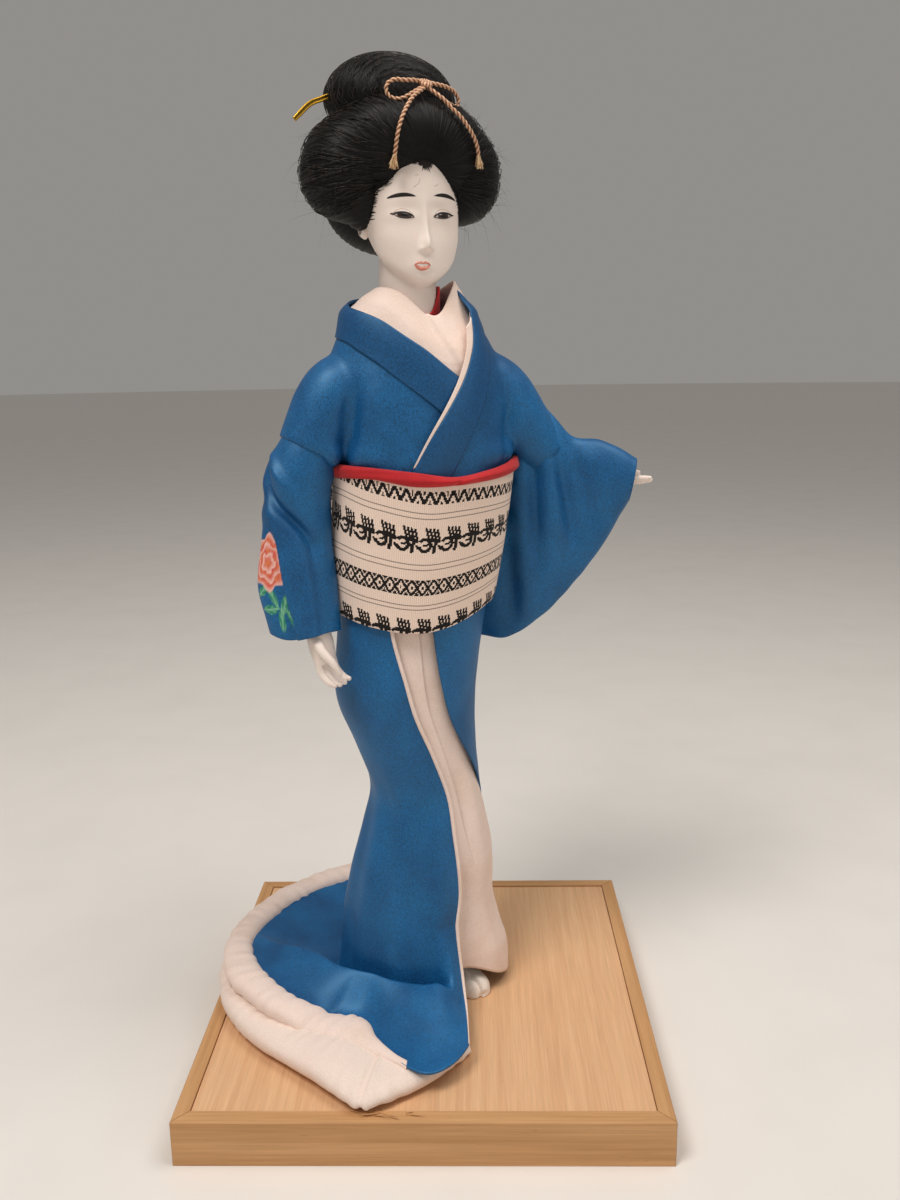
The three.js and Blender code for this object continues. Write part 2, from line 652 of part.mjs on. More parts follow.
function skirt(u, v) {
  const [upper, under] = skirtEdge(v);
  const degrees = mix(upper, under - 360, u);
  const angle = degrees * RAD;
  const fold = FOLD_DEPTH * (1 - Math.cos(FOLDS * 2 * Math.PI * u)) / 2;
  if (v <= COLUMN_SHARE) {
    const drop = v / COLUMN_SHARE;
    return body(angle, mix(SKIRT_TOP, TRAIN_TOP, drop), fold * THREE.MathUtils.smoothstep(drop, 0.3, 1));
  }
  const s = (v - COLUMN_SHARE) / (1 - COLUMN_SHARE);
  const start = body(angle, TRAIN_TOP, fold);
  const from = Math.hypot(start.x, start.y);
  const bearing = Math.atan2(start.x, -start.y);
  const facing = degrees + wrap(bearing - angle) / RAD;
  const distance = mix(from, trainReach(facing), s);
  const hem = trainHem(facing);
  const front = THREE.MathUtils.smoothstep(facing, -95, -70);
  const ridge = RIDGE_RISE * front * bell(distance, RIDGE_DISTANCE, 5) * Math.min(1, 5 * s);
  const dip = TRAIN_DIP * (1 - front) * Math.sin(Math.PI * s);
  const z = hem + (TRAIN_TOP - hem) * (1 - s) ** 3.2 + ridge - dip;
  return point(distance * Math.sin(bearing), -distance * Math.cos(bearing), z);
}

function buildSkirt() {
  add(figure, 'kimono_skirt', shell(skirt, inset(skirt, CLOTH), 36, 13, false), BLUE_SATIN);
}

function hemRoll(distance, height, radius, from, to) {
  const path = [];
  const radii = [];
  const steps = 24;
  for (let i = 0; i <= steps; i += 1) {
    const degrees = mix(from, to, i / steps);
    const taper = Math.min(1, 0.5 + 0.25 * Math.min(i, steps - i));
    const r = radius(degrees) * taper;
    const d = distance(degrees);
    path.push(point(d * Math.sin(degrees * RAD), -d * Math.cos(degrees * RAD), height(degrees)));
    radii.push([r, r]);
  }
  return limb(path, radii, steps, LIMB_SIDES, point(0, 0, 1));
}

function buildHemRolls() {
  const upper = hemRoll((a) => hemRow(a)[0], upperRollHeight, () => ROLL_RADIUS, -238, -37);
  const lower = hemRoll((a) => hemRow(a)[1], (a) => rollFoot(a) + lowerRadius(a), lowerRadius, -240, 0);
  add(figure, 'hem_roll_upper', upper, CREAM);
  add(figure, 'hem_roll_lower', lower, CREAM);
}

// The underskirt's hem is lifted over the toes.
const UNDER_HEM = 2;
const TOE_LIFT = 14;
const underHem = (angle) => UNDER_HEM + TOE_LIFT * bell(wrap(angle - 22 * RAD), 0, 34 * RAD);

function underskirt(depth) {
  return (u, v) => {
    const angle = 2 * Math.PI * u;
    const z = mix(underHem(angle), SKIRT_TOP - 2, v);
    const fold = FOLD_DEPTH * (1 - Math.cos(FOLDS * angle)) * (1 - THREE.MathUtils.smoothstep(z, 60, 150));
    return body(angle, z, -depth - fold / 2);
  };
}

function buildUnderskirt() {
  const top = CLOTH + UNDER_SEAT;
  add(figure, 'underskirt', shell(underskirt(top), underskirt(top + LINING), 26, 9, true), CREAM);
}

// Collars

const COLLAR_LAYER = 4 * FIT + LINING;

// Ring of cloth from a standing edge near the neck, over a rim and down to its foot.
function neckCollar(edge, rim, foot, thickness) {
  const surface = (grow) => (u, v) => {
    const angle = 2 * Math.PI * u;
    const dip = bell(wrap(angle - 12 * RAD), 0, 42 * RAD);
    const bend = rim(angle, dip, grow);
    const low = foot(angle, dip, grow);
    const high = edge(angle, dip, grow);
    return v < RIM_SHARE ? low.lerp(bend, v / RIM_SHARE) : bend.lerp(high, (v - RIM_SHARE) / (1 - RIM_SHARE));
  };
  return shell(surface(thickness), surface(0), GARMENT_SIDES, 3, true);
}

const RIM_SHARE = 1 / 3;

function aroundNeck(angle, radius, z) {
  const { x, y } = neckAxis();
  return point(x + radius * Math.sin(angle), y - radius * Math.cos(angle), z);
}

function buildNeckCollars() {
  const inner = NECK_RADIUS + 2 * FIT;
  const redRing = (z, fall) => (angle, dip, grow) => aroundNeck(angle, inner + grow, z - fall * dip);
  add(figure, 'collar_red', neckCollar(redRing(320.5, 14), redRing(310, 10), redRing(303, 8), 1), RED);
  const clear = inner + 1 + FIT;
  const whiteEdge = (angle, dip, grow) => aroundNeck(angle, clear + grow + 2 * dip, 319.5 - 13 * dip
    + 3 * bell(wrap(angle - 75 * RAD), 0, 40 * RAD));
  const whiteRim = (angle, dip, grow) => body(angle, neckline(angle) + 2 * FIT, 2 * FIT + grow);
  const whiteFoot = (angle, dip, grow) => body(angle, neckline(angle) - 6, 2 * FIT + grow);
  add(figure, 'collar_white', neckCollar(whiteEdge, whiteRim, whiteFoot, LINING), CREAM);
}

// Crossing kimono collar: rows of [share, inner angle, inner height, outer angle, outer height, layer].
const collarRow = stations([
  [0, 22, 284, 30, 269, 1],
  [0.06, 11, 291, 18, 277, 1],
  [0.16, -20, 302, -12, 285, 1],
  [0.3, -60, 312, -60, 295, 1],
  [0.4, -110, 317, -110, 300, 1],
  [0.5, -180, 319, -180, 302, 1],
  [0.6, -250, 317, -250, 300, 1],
  [0.7, -300, 312, -300, 295, 1.2],
  [0.78, -325, 303, -318, 287, 2.2],
  [0.85, -345, 290, -328, 276, 2.4],
  [0.93, -368, 268, -338, 262, 2.4],
  [1, -384, 251, -346, 251, 2.2],
]);

function buildKimonoCollar() {
  const band = (grow) => (u, v) => {
    const [a0, z0, a1, z1, layer] = collarRow(u);
    const angle = mix(a0, a1, v) * RAD;
    return body(angle, mix(z0, z1, v), COLLAR_LAYER * layer + FIT + grow);
  };
  add(figure, 'collar_kimono', shell(band(CLOTH), band(0), 34, 3, false), BLUE_SATIN);
}

// Obi and its knot

function buildObi() {
  const levels = [OBI_BOTTOM, ...CHEST_LEVELS.slice(0, 4)];
  const band = (out) => (u, v) => body(2 * Math.PI * u, levels[Math.round(v * 4)], out);
  add(figure, 'obi_band', shell(band(OBI_SEAT + OBI_CLOTH), band(OBI_SEAT), GARMENT_SIDES, 4, true), BROCADE);
  const scarf = (out, crown) => (u, v) => {
    const angle = 2 * Math.PI * u;
    const behind = 1 - 0.75 * bell(wrap(angle - Math.PI), 0, 0.9);
    const knotted = 1 + 0.5 * bell(wrap(angle), 0, 0.35);
    const swell = crown * behind * knotted * Math.sin(Math.PI * mix(0.15, 0.85, v));
    const z = mix(OBI_TOP - 5, OBI_TOP + 3, v) - 2.5 * bell(wrap(angle), 0, 0.7);
    return body(angle, z, out + swell);
  };
  const seat = OBI_SEAT + OBI_CLOTH + 2 * FIT;
  add(figure, 'obi_age', shell(scarf(seat, 3.2), scarf(seat, 0), GARMENT_SIDES, 3, true), RED);
}

const DRUM_WIDTH = 60;
const DRUM_DEPTH = 20;
const DRUM_BOTTOM = 186;
const DRUM_TOP = 253;
const DRUM_ROUND = 9;
const DRUM_X = 1;
const HAND_THICK = 6;
const HAND_HEIGHT = 30;
const HAND_RAISE = 6.3;
const HAND_EXTRA = 16;
const TAIL_DROP = 20;
const TAIL_SETBACK = 6;
const TAIL_EASE = 6;

// The drum leans on the obi where the obi stands out most behind it.
function drumBack() {
  const levels = [DRUM_BOTTOM + DRUM_ROUND, 213, OBI_TOP];
  return Math.max(...levels.map((z) => body(Math.PI, z, OBI_SEAT + OBI_CLOTH + FIT).y));
}

function roundedOutline(shape, y0, y1, z0, z1, r) {
  shape.moveTo(y0, z0 + r);
  shape.absarc(y0 + r, z0 + r, r, Math.PI, 1.5 * Math.PI, false);
  shape.absarc(y1 - r, z0 + r, r, 1.5 * Math.PI, 2 * Math.PI, false);
  shape.absarc(y1 - r, z1 - r, r, 0, 0.5 * Math.PI, false);
  shape.absarc(y0 + r, z1 - r, r, 0.5 * Math.PI, Math.PI, false);
  shape.closePath();
  return shape;
}

function slab(x, width, outline) {
  const settings = { depth: width, bevelEnabled: false, curveSegments: 5 };
  const geometry = new THREE.ExtrudeGeometry(outline, settings);
  geometry.applyMatrix4(new THREE.Matrix4().makeBasis(point(0, 1, 0), point(0, 0, 1), point(1, 0, 0)));
  geometry.translate(x - width / 2, 0, 0);
  return solid(geometry);
}

function buildObiKnot() {
  const back = drumBack();
  const front = back + DRUM_DEPTH;
  const drum = roundedOutline(new THREE.Shape(), back, front, DRUM_BOTTOM, DRUM_TOP, DRUM_ROUND);
  const w = OBI_CLOTH;
  drum.holes.push(roundedOutline(new THREE.Path(), back + w, front - w, DRUM_BOTTOM + w, DRUM_TOP - w,
    DRUM_ROUND - w));
  add(figure, 'obi_drum', slab(DRUM_X, DRUM_WIDTH, drum), BROCADE);
  const room = DRUM_DEPTH / 2 - w - FIT;
  const pillowPath = [-1, -0.5, 0, 0.5, 1].map((s) => point(DRUM_X + s * 0.42 * DRUM_WIDTH,
    (back + front) / 2, DRUM_TOP - w - FIT - room));
  const plump = [0.5, 0.95, 1, 0.95, 0.5].map((share) => share * room);
  add(figure, 'obi_pillow', limb(pillowPath, evenly(plump), 8, 12), COTTON);
  const inside = back + w + FIT;
  const handFoot = DRUM_BOTTOM + w + FIT + HAND_RAISE;
  const folded = roundedOutline(new THREE.Shape(), inside, inside + HAND_THICK, handFoot,
    handFoot + HAND_HEIGHT, 1);
  add(figure, 'obi_hand', slab(DRUM_X, DRUM_WIDTH + HAND_EXTRA, folded), BROCADE);
  const tailBack = back + TAIL_SETBACK;
  const tail = roundedOutline(new THREE.Shape(), tailBack, tailBack + w, DRUM_BOTTOM - TAIL_DROP,
    DRUM_BOTTOM - FIT, w / 3);
  add(figure, 'obi_tail', slab(DRUM_X, DRUM_WIDTH - TAIL_EASE, tail), BROCADE);
}

// Head, hair and hair ornaments, in the head's own frame

// Rows of [share, front y, front height, back y, back height, half width] from the neck up to the crown.
const headRow = stations([
  [0, -NECK_RADIUS, NECK_FOOT, NECK_RADIUS, NECK_FOOT, NECK_RADIUS],
  [0.1, -NECK_RADIUS, 316, NECK_RADIUS, 316, NECK_RADIUS],
  [0.16, -13.5, 321.5, 13.5, 329, 12.6],
  [0.22, -17.6, 323.2, 15, 334, 13.2],
  [0.3, -19.2, 326.5, 17, 338, 14.4],
  [0.4, -19.6, 331, 19, 343, 16.4],
  [0.5, -19.9, 338, 21, 349, 18.4],
  [0.6, -19.6, 347, 22.5, 355, 19.6],
  [0.7, -20.2, 356, 23, 362, 19.9],
  [0.8, -19.6, 365, 21.5, 369, 19],
  [0.9, -16.5, 374, 17.5, 376, 15.5],
  [0.97, -9, 381, 10, 381.5, 9],
  [1, -3, 383, 3, 383, 3],
]);

function headRing(share, out, sides) {
  const [frontY, frontZ, backY, backZ, wide] = headRow(share);
  return turnAround(sides, (angle) => {
    const back = (1 - Math.cos(angle)) / 2;
    const y = mix(frontY - out, backY + out, back);
    return point((wide + out) * Math.sin(angle), y, mix(frontZ, backZ, back) + out * share ** 4);
  });
}

const HEAD_SHARES = [0, 0.1, 0.13, 0.16, 0.22, 0.3, 0.4, 0.5, 0.6, 0.7, 0.8, 0.87, 0.94, 1];
const EAR = point(19.6, 3, 344);
const EYE_PLACE = point(9.4, -16.7, 349);
const EYE_HALF = point(5, 1.7, 1.8);
const EYE_SLANT = 28 * RAD;
const grown = (half, out) => half.clone().addScalar(out);

function headShape(out) {
  const shapes = [loft(HEAD_SHARES.map((share) => headRing(share, out, 20)))];
  for (const side of [-1, 1]) {
    shapes.push(blob(point(EAR.x * side, EAR.y, EAR.z), grown(point(2.4, 4.2, 6.4), out), 0, 8));
  }
  const bridge = [point(0, -19, 352), point(0, -20.6, 345), point(0, -22, 338.6), point(0, -19, 336.4)];
  const noseRadii = [[1.2, 1], [1.6, 1.2], [2.6, 1.8], [2, 1]].map((pair) => pair.map((r) => r + out));
  shapes.push(limb(bridge, noseRadii, 5, CORD_SIDES, point(0, 1, 0.2)));
  return join(...shapes);
}

function eyeBlob(side, out) {
  const middle = point(EYE_PLACE.x * side, EYE_PLACE.y, EYE_PLACE.z);
  return blob(middle, grown(EYE_HALF, out), EYE_SLANT * side, 10);
}

function buildHead() {
  add(topHalf, 'head', cut(headShape(0), eyeBlob(1, FIT), eyeBlob(-1, FIT)), SKIN);
  add(topHalf, 'eye_left', eyeBlob(1, 0), EYE);
  add(topHalf, 'eye_right', eyeBlob(-1, 0), EYE);
}

// Hairdo: [middle, half size] of each puff.
const PUFFS = {
  hair_front: [point(0, -8, 380), point(23, 17, 15.5)],
  hair_side_left: [point(26.5, 3, 367), point(16.5, 19, 18.5)],
  hair_side_right: [point(-26.5, 3, 367), point(16.5, 19, 18.5)],
  hair_back: [point(0, 20, 357), point(27, 18, 20)],
  hair_bun: [point(-3, 7, 396), point(27, 21, 18)],
};
const puff = (name, out) => blob(PUFFS[name][0], grown(PUFFS[name][1], out));

// The hairpin is straight in the bun and bends down outside it.
const PIN_ENTRY = point(-30, 7, 396);
const PIN_ALONG = point(0.92, 0, 0.39).normalize();
const PIN_TIP = point(-46.5, 7, 386);
const PIN_DEEP = 24;
const pinAt = (distance) => PIN_ENTRY.clone().addScaledVector(PIN_ALONG, distance);

function buildHair() {
  const made = [];
  const skull = headShape(FIT);
  for (const name of Object.keys(PUFFS)) {
    const neighbours = made.map((other) => puff(other, FIT));
    let shape = cut(puff(name, 0), skull, ...neighbours);
    if (name === 'hair_bun') {
      shape = cut(shape, round([pinAt(PIN_DEEP + FIT), pinAt(0), pinAt(-20)], PIN_RADIUS + FIT, 4, 12));
    }
    add(topHalf, name, shape, HAIR);
    made.push(name);
  }
  const route = [...[PIN_DEEP, 12, 4, -3, -8].map(pinAt), PIN_TIP];
  const pinRadii = evenly([0.6, 1, 1, 1, 0.8].map((share) => share * PIN_RADIUS));
  add(topHalf, 'hairpin', limb(route, pinRadii, 12, 8), GOLD);
}

const KNOT = point(0.8, -17.2, 398.4);
const KNOT_RADIUS = 3;

// Cord routes: the two loops and the two tails of the bow.
const CORDS = {
  hair_cord_loop_left: [point(-0.4, -17.8, 400), point(-5, -18.4, 400.9), point(-10, -18.2, 400.2),
    point(-14.2, -17.6, 398), point(-16.2, -17, 395), point(-15.4, -16.8, 392.2),
    point(-12.6, -18.2, 391), point(-8.6, -19.3, 392.6), point(-4.6, -19.3, 395.6),
    point(-0.8, -18.2, 397.5)],
  hair_cord_loop_right: [point(2, -17.8, 400), point(7, -17.8, 401.3), point(12.5, -17, 401.3),
    point(17.6, -15.6, 399.6), point(20.6, -14.4, 396.4), point(20.2, -14.2, 393.4),
    point(17.2, -15.2, 392), point(12, -17, 393.4), point(6.4, -18.2, 395.8),
    point(2.4, -18.2, 397.5)],
  hair_cord_tail_left: [point(0, -19.8, 396.1), point(-2, -23.2, 392.4), point(-6.8, -25.6, 386.6),
    point(-10.6, -26.4, 379), point(-11.5, -24.5, 367)],
  hair_cord_tail_right: [point(2.2, -19.8, 396.1), point(4.6, -22.9, 392.8), point(12, -24, 388.6),
    point(20, -21.4, 382.5), point(24, -19, 373)],
};

const knot = (out) => blob(KNOT, point(1, 1, 1).multiplyScalar(KNOT_RADIUS + out), 0, 10);

function buildBow() {
  add(topHalf, 'hair_cord_knot', knot(0), GOLD_CORD);
  for (const [name, route] of Object.entries(CORDS)) {
    const tail = name.includes('tail');
    const shares = tail ? [1, 1, 1, 1, 1.9, 1.7] : [1, 1];
    const radii = evenly(shares.map((share) => share * CORD_RADIUS));
    const cord = limb(route, radii, tail ? 10 : 18, CORD_SIDES, OBLIQUE);
    add(topHalf, name, cut(cord, knot(FIT)), GOLD_CORD);
  }
}

buildStand();
buildCore();
buildLimbs();
buildHands();
buildFeet();
buildBodice();
buildRightSleeve();
buildLeftSleeve();
buildSkirt();
buildHemRolls();
buildUnderskirt();
buildNeckCollars();
buildKimonoCollar();
buildObi();
buildObiKnot();
buildHead();
buildHair();
buildBow();

export default model;
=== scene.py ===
from functools import partial

import bpy
import numpy as np
from mathutils import Matrix, Vector


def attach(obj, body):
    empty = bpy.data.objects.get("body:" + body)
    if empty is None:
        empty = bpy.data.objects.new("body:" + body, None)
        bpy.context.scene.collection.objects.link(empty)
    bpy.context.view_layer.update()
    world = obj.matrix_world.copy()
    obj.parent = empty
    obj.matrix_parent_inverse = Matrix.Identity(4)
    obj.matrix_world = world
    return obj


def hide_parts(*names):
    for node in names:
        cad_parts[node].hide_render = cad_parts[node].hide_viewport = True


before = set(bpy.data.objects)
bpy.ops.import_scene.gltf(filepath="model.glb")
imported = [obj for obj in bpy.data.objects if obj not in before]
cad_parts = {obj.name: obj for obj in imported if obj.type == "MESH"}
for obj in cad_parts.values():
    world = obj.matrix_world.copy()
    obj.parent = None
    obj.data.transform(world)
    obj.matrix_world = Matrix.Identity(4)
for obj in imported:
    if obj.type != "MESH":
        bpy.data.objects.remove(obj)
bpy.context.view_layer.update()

bl_info = {
    "name": "Costume Doll",
    "version": (1, 0, 0),
    "blender": (4, 5, 0),
    "location": "View3D > Sidebar > Doll",
    "description": "Dresses a packed costume doll in cloth, hair and paint",
    "category": "Object",
}

# The figure and its head are drawn in millimetres on the deck. A place is a turn in degrees, then x, y and z.
MM = 0.001
FIGURE = (18, -4, 7, 19.2)
HEAD = (28, -4, 3, 19.2)
STAND = (0, 0, 0, 0)
TAU = 2 * np.pi

# Sizes that the frame was made with
CLOTH = 1.6
FIT = 0.3
OBI_SEAT = 0.8
OBI_CLOTH = 2.4
OBI_BOTTOM = 179
OBI_TOP = 244.5
SKIRT_TOP = 190
TRAIN_TOP = 40
COLUMN_SHARE = 0.6
ROLL_RADIUS = 5.5
NECK_RADIUS = 12.2
NECK_X, NECK_Y = -1.24, -3.8

# Drawn thickness of satin, crepe, a brushed line and a faint line
SATIN_THICK = 0.9
CREPE_THICK = 0.7
BRUSH_THICK = 0.05
FAINT_THICK = 0.04

# A direction that no path here runs along
ASLANT = (0.31, 0.9, 0.3)


def linear(code):
    """An sRGB hex colour as linear red, green, blue and a full alpha."""
    parts = np.array([int(code[i:i + 2], 16) for i in (1, 3, 5)]) / 255
    return (*np.where(parts <= 0.04045, parts / 12.92, ((parts + 0.055) / 1.055) ** 2.4), 1.0)


# Curves and surfaces

def mix(a, b, t):
    """The value a share of the way from one to another."""
    return a + (b - a) * t


def bell(x, middle, width):
    """A bump of height one: e to the power of minus the square of the distance over the width."""
    return np.exp(-(((x - middle) / width) ** 2))


def smooth(x, low, high):
    """A rise from 0 to 1 between two values: three times the square of the share less twice its cube."""
    t = np.clip((x - low) / (high - low), 0, 1)
    return t * t * (3 - 2 * t)


def unit(vectors):
    """Vectors over their own lengths."""
    return vectors / np.maximum(np.linalg.norm(vectors, axis=-1, keepdims=True), 1e-12)


def wrap(angle):
    """The same angle between minus and plus half a turn."""
    return np.arctan2(np.sin(angle), np.cos(angle))


def field(rows, columns, v=(0, 1), u=(0, 1), closed=False):
    """Two parameters on a grid: v down the rows and u along the columns, less its end where it closes."""
    across = np.linspace(*u, columns, endpoint=not closed)
    return np.meshgrid(across, np.linspace(*v, rows))


def stations(rows):
    """Smooth curve through rows of [place, value...]: cubics, sloped at a row as the mean of two chords."""
    rows = np.array(rows, float)
    x, y = rows[:, 0], rows[:, 1:]
    chord = np.diff(y, axis=0) / np.diff(x)[:, None]
    slope = np.vstack([chord[:1], (chord[1:] + chord[:-1]) / 2, chord[-1:]])

    def at(t):
        t = np.clip(np.asarray(t, float), x[0], x[-1])
        i = np.clip(np.searchsorted(x, t, side="right") - 1, 0, len(x) - 2)
        h = (x[i + 1] - x[i])[..., None]
        p = (t - x[i])[..., None] / h
        low = (2 * p ** 3 - 3 * p ** 2 + 1) * y[i] + (p ** 3 - 2 * p ** 2 + p) * h * slope[i]
        high = (3 * p ** 2 - 2 * p ** 3) * y[i + 1] + (p ** 3 - p ** 2) * h * slope[i + 1]
        return np.moveaxis(low + high, -1, 0)

    return at


def spline(points, count):
    """Points of a centripetal spline through the given ones: each span is a cubic whose end slopes weigh the
    neighbouring spans by the roots of their lengths."""
    p = np.array(points, float)
    p = np.vstack([2 * p[0] - p[1], p, 2 * p[-1] - p[-2]])
    place = np.linspace(0, len(points) - 1, count)
    k = np.minimum(place.astype(int), len(points) - 2)
    w = (place - k)[:, None]
    step = np.maximum(np.linalg.norm(np.diff(p, axis=0), axis=1) ** 0.5, 1e-4)[:, None]
    p0, p1, p2, p3 = (p[k + i] for i in range(4))
    d0, d1, d2 = (step[k + i] for i in range(3))
    m1 = ((p1 - p0) / d0 - (p2 - p0) / (d0 + d1) + (p2 - p1) / d1) * d1
    m2 = ((p2 - p1) / d1 - (p3 - p1) / (d1 + d2) + (p3 - p2) / d2) * d1
    return p1 + m1 * w + (3 * (p2 - p1) - 2 * m1 - m2) * w ** 2 + (2 * (p1 - p2) + m1 + m2) * w ** 3


def circle(sides):
    """Angles evenly once round."""
    return np.linspace(0, TAU, sides, endpoint=False)


def signed(x, power):
    """A power that keeps the sign; below one it squares off a round form."""
    return np.sign(x) * np.abs(x) ** power


def travel(path):
    """Distance along a path at each of its points."""
    return np.append(0, np.linalg.norm(np.diff(path, axis=0), axis=1).cumsum())


def sideways(path, across):
    """Two unit directions across a path: one square to it and a given direction, one square to both."""
    tangent = unit(np.gradient(path, axis=-2))
    wide = unit(np.cross(np.array(across, float), tangent))
    return wide, unit(np.cross(tangent, wide))


def rings(path, radius, sides, across=ASLANT):
    """Rings round a path, or round each of a stack of paths: circles or ovals in the plane across it. The
    radius is a number, one for each point or one for each point and side, or a tuple of two for an oval."""
    theta = circle(sides)
    wide, deep = sideways(path, across)
    pair = radius if isinstance(radius, tuple) else (radius, radius)
    a, b = (r[..., None] if np.ndim(r) == path.ndim - 1 else r for r in pair)
    a, b = (a * np.cos(theta))[..., None], (b * np.sin(theta))[..., None]
    return path[..., None, :] + wide[..., None, :] * a + deep[..., None, :] * b


def tube(points, radii, count, sides, across=ASLANT):
    """Rounded limb: rings along a spline, whose radii run smoothly from each given one to the next."""
    radii = np.array(radii, float)
    size = stations(np.column_stack([np.linspace(0, 1, len(radii)), radii]))(np.linspace(0, 1, count))
    return rings(spline(points, count), (size[0], size[-1]), sides, across)


def outward(grid, around=False, along=False):
    """Unit normals: cross products of differences along rows and columns, turned from the middle."""
    def step(axis, closed):
        if closed:
            return np.roll(grid, -1, axis) - np.roll(grid, 1, axis)
        return np.gradient(grid, axis=axis)
    normal = unit(np.cross(step(1, around), step(0, along)))
    middle = grid.reshape(-1, 3).mean(0)
    return normal if np.sum(normal * (grid - middle)) > 0 else -normal


def swell(grid, amount, around=False, along=False):
    """The same surface moved outwards along its normals by an amount at each point."""
    return grid + outward(grid, around, along) * np.asarray(amount)[..., None]


def ripple(points, size, seed, waves=7):
    """Soft unevenness from -1 to 1: the mean of sine waves of about one length, in seeded directions."""
    draw = np.random.default_rng(seed)
    ways = unit(draw.normal(size=(waves, 3))) * TAU / (size * draw.uniform(0.7, 1.5, (waves, 1)))
    return np.sin(points @ ways.T + draw.uniform(0, TAU, waves)).mean(-1)


def spun(points, degrees):
    """Points turned about the upright axis."""
    c, s = np.cos(np.radians(degrees)), np.sin(np.radians(degrees))
    x, y, z = np.moveaxis(np.asarray(points, float), -1, 0)
    return np.stack([c * x - s * y, s * x + c * y, z], -1)


def placed(points, place):
    """Points in millimetres, turned about the upright axis and set on the stand, in metres."""
    return (spun(points, place[0]) + np.array(place[1:])) * MM


def unplaced(points):
    """Points on the stand in metres, back in the figure's own millimetres."""
    return spun(points / MM - np.array(FIGURE[1:]), -FIGURE[0])


# Meshes

def lengths(grid, around, along):
    """Distances along the rows and down the columns in metres, each the mean over the sheet."""
    wide = np.concatenate([grid, grid[:, :1]], 1) if around else grid
    tall = np.concatenate([grid, grid[:1]], 0) if along else grid
    u = np.linalg.norm(np.diff(wide, axis=1), axis=2).mean(0)
    v = np.linalg.norm(np.diff(tall, axis=0), axis=2).mean(1)
    return np.stack(np.meshgrid(np.append(0, u.cumsum()), np.append(0, v.cumsum())), -1) * MM


def mesh_object(name, points, faces, corner_uv=None):
    """A mesh from points in metres and lists of faces of three or four corners."""
    mesh = bpy.data.meshes.new(name)
    sizes = np.concatenate([np.full(len(f), f.shape[1]) for f in faces])
    corners = np.concatenate([f.reshape(-1) for f in faces])
    mesh.vertices.add(len(points))
    mesh.vertices.foreach_set("co", np.ascontiguousarray(points, np.float32).reshape(-1))
    mesh.loops.add(len(corners))
    mesh.loops.foreach_set("vertex_index", corners.astype(np.int32))
    mesh.polygons.add(len(sizes))
    mesh.polygons.foreach_set("loop_start", np.append(0, sizes.cumsum()[:-1]).astype(np.int32))
    mesh.polygons.foreach_set("use_smooth", np.ones(len(sizes), bool))
    mesh.update(calc_edges=True)
    if corner_uv is not None:
        mesh.uv_layers.new(name="flat").data.foreach_set("uv", corner_uv.astype(np.float32).reshape(-1))
    mesh.validate()
    made = bpy.data.objects.new(name, mesh)
    bpy.context.scene.collection.objects.link(made)
    return made


def mark(made, name, values, domain="POINT"):
    """A number at each point or face of a piece, for its material to read."""
    layer = made.data.attributes.new(name, "FLOAT", domain)
    full = np.zeros(len(layer.data), np.float32)
    full[:np.size(values)] = np.asarray(values, np.float32).reshape(-1)[:len(full)]
    layer.data.foreach_set("value", full)


def settle(made, material, rider, nodes=(), thick=0.0):
    """Gives a piece its material, its cloth thickness, the body it rides on and the nodes it stands for."""
    made.data.materials.append(material)
    if thick:
        wall = made.modifiers.new("cloth", "SOLIDIFY")
        wall.thickness = thick * MM
        wall.offset = -1
    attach(made, rider)
    if nodes:
        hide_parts(*nodes)
    return made


def dress(name, material):
    """Gives a node of the frame a better material."""
    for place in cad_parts[name].material_slots:
        place.material = material


def skin(name, grid, place=FIGURE, around=False, along=False, ends="", inside=None, uv=None, marks=None,
         cells=None):
    """Mesh over a grid of points, or over a stack of like grids: quads between rows and columns, joined
    round where around or along is set, with a fan at the first ("a") and last ("z") row, facing away from
    the middle."""
    stack = grid if grid.ndim == 4 else grid[None]
    count, rows, columns = stack.shape[:3]
    i, j = np.meshgrid(np.arange(rows - (not along)), np.arange(columns - (not around)), indexing="ij")
    corners = [(i, j), (i, j + 1), (i + 1, j + 1), (i + 1, j)]
    quads = np.stack([(a % rows) * columns + b % columns for a, b in corners], -1).reshape(-1, 4)
    uv = lengths(stack[0], around, along) if uv is None else uv * MM
    quad_uv = np.stack([uv[a, b] for a, b in corners], -2).reshape(-1, 4, 2)
    points = [stack.reshape(count, -1, 3)]
    k = np.arange(columns)
    fans, fan_uv = [], []
    for letter, row, order in (("a", 0, (1, 0)), ("z", rows - 1, (0, 1))):
        if letter in ends:
            rim = [row * columns + (k + o) % columns for o in order]
            fans.append(np.column_stack([*rim, np.full(columns, rows * columns + len(fans))]))
            points.append(stack[:, row].mean(1)[:, None])
            centre_uv = np.broadcast_to(uv[row].mean(0), (columns, 2))
            fan_uv.append(np.stack([*(uv[row, k + o] for o in order), centre_uv], 1))
    points = placed(np.concatenate(points, 1), place)
    per = points.shape[1]
    middle = points.mean(1) if inside is None else placed(np.array([inside], float), place)
    a, b, c, d = (points[:, quads[:, n]] for n in range(4))
    facing = np.sum(np.cross(c - a, d - b) * ((a + b + c + d) / 4 - middle[:, None]))
    order = slice(None) if facing > 0 else slice(None, None, -1)
    copies = np.arange(count)[:, None, None] * per
    faces = [(copies + f[:, order]).reshape(-1, f.shape[1]) for f in [quads, *fans]]
    corner_uv = np.concatenate([np.tile(f[:, order].reshape(-1, 2), (count, 1)) for f in [quad_uv, *fan_uv]])
    made = mesh_object(name, points.reshape(-1, 3), faces, corner_uv)
    for key, values in (marks or {}).items():
        full = np.zeros((count, per))
        full[:, :rows * columns] = np.asarray(values).reshape(count, -1)
        mark(made, key, full)
    for key, values in (cells or {}).items():
        mark(made, key, values, "FACE")
    return made


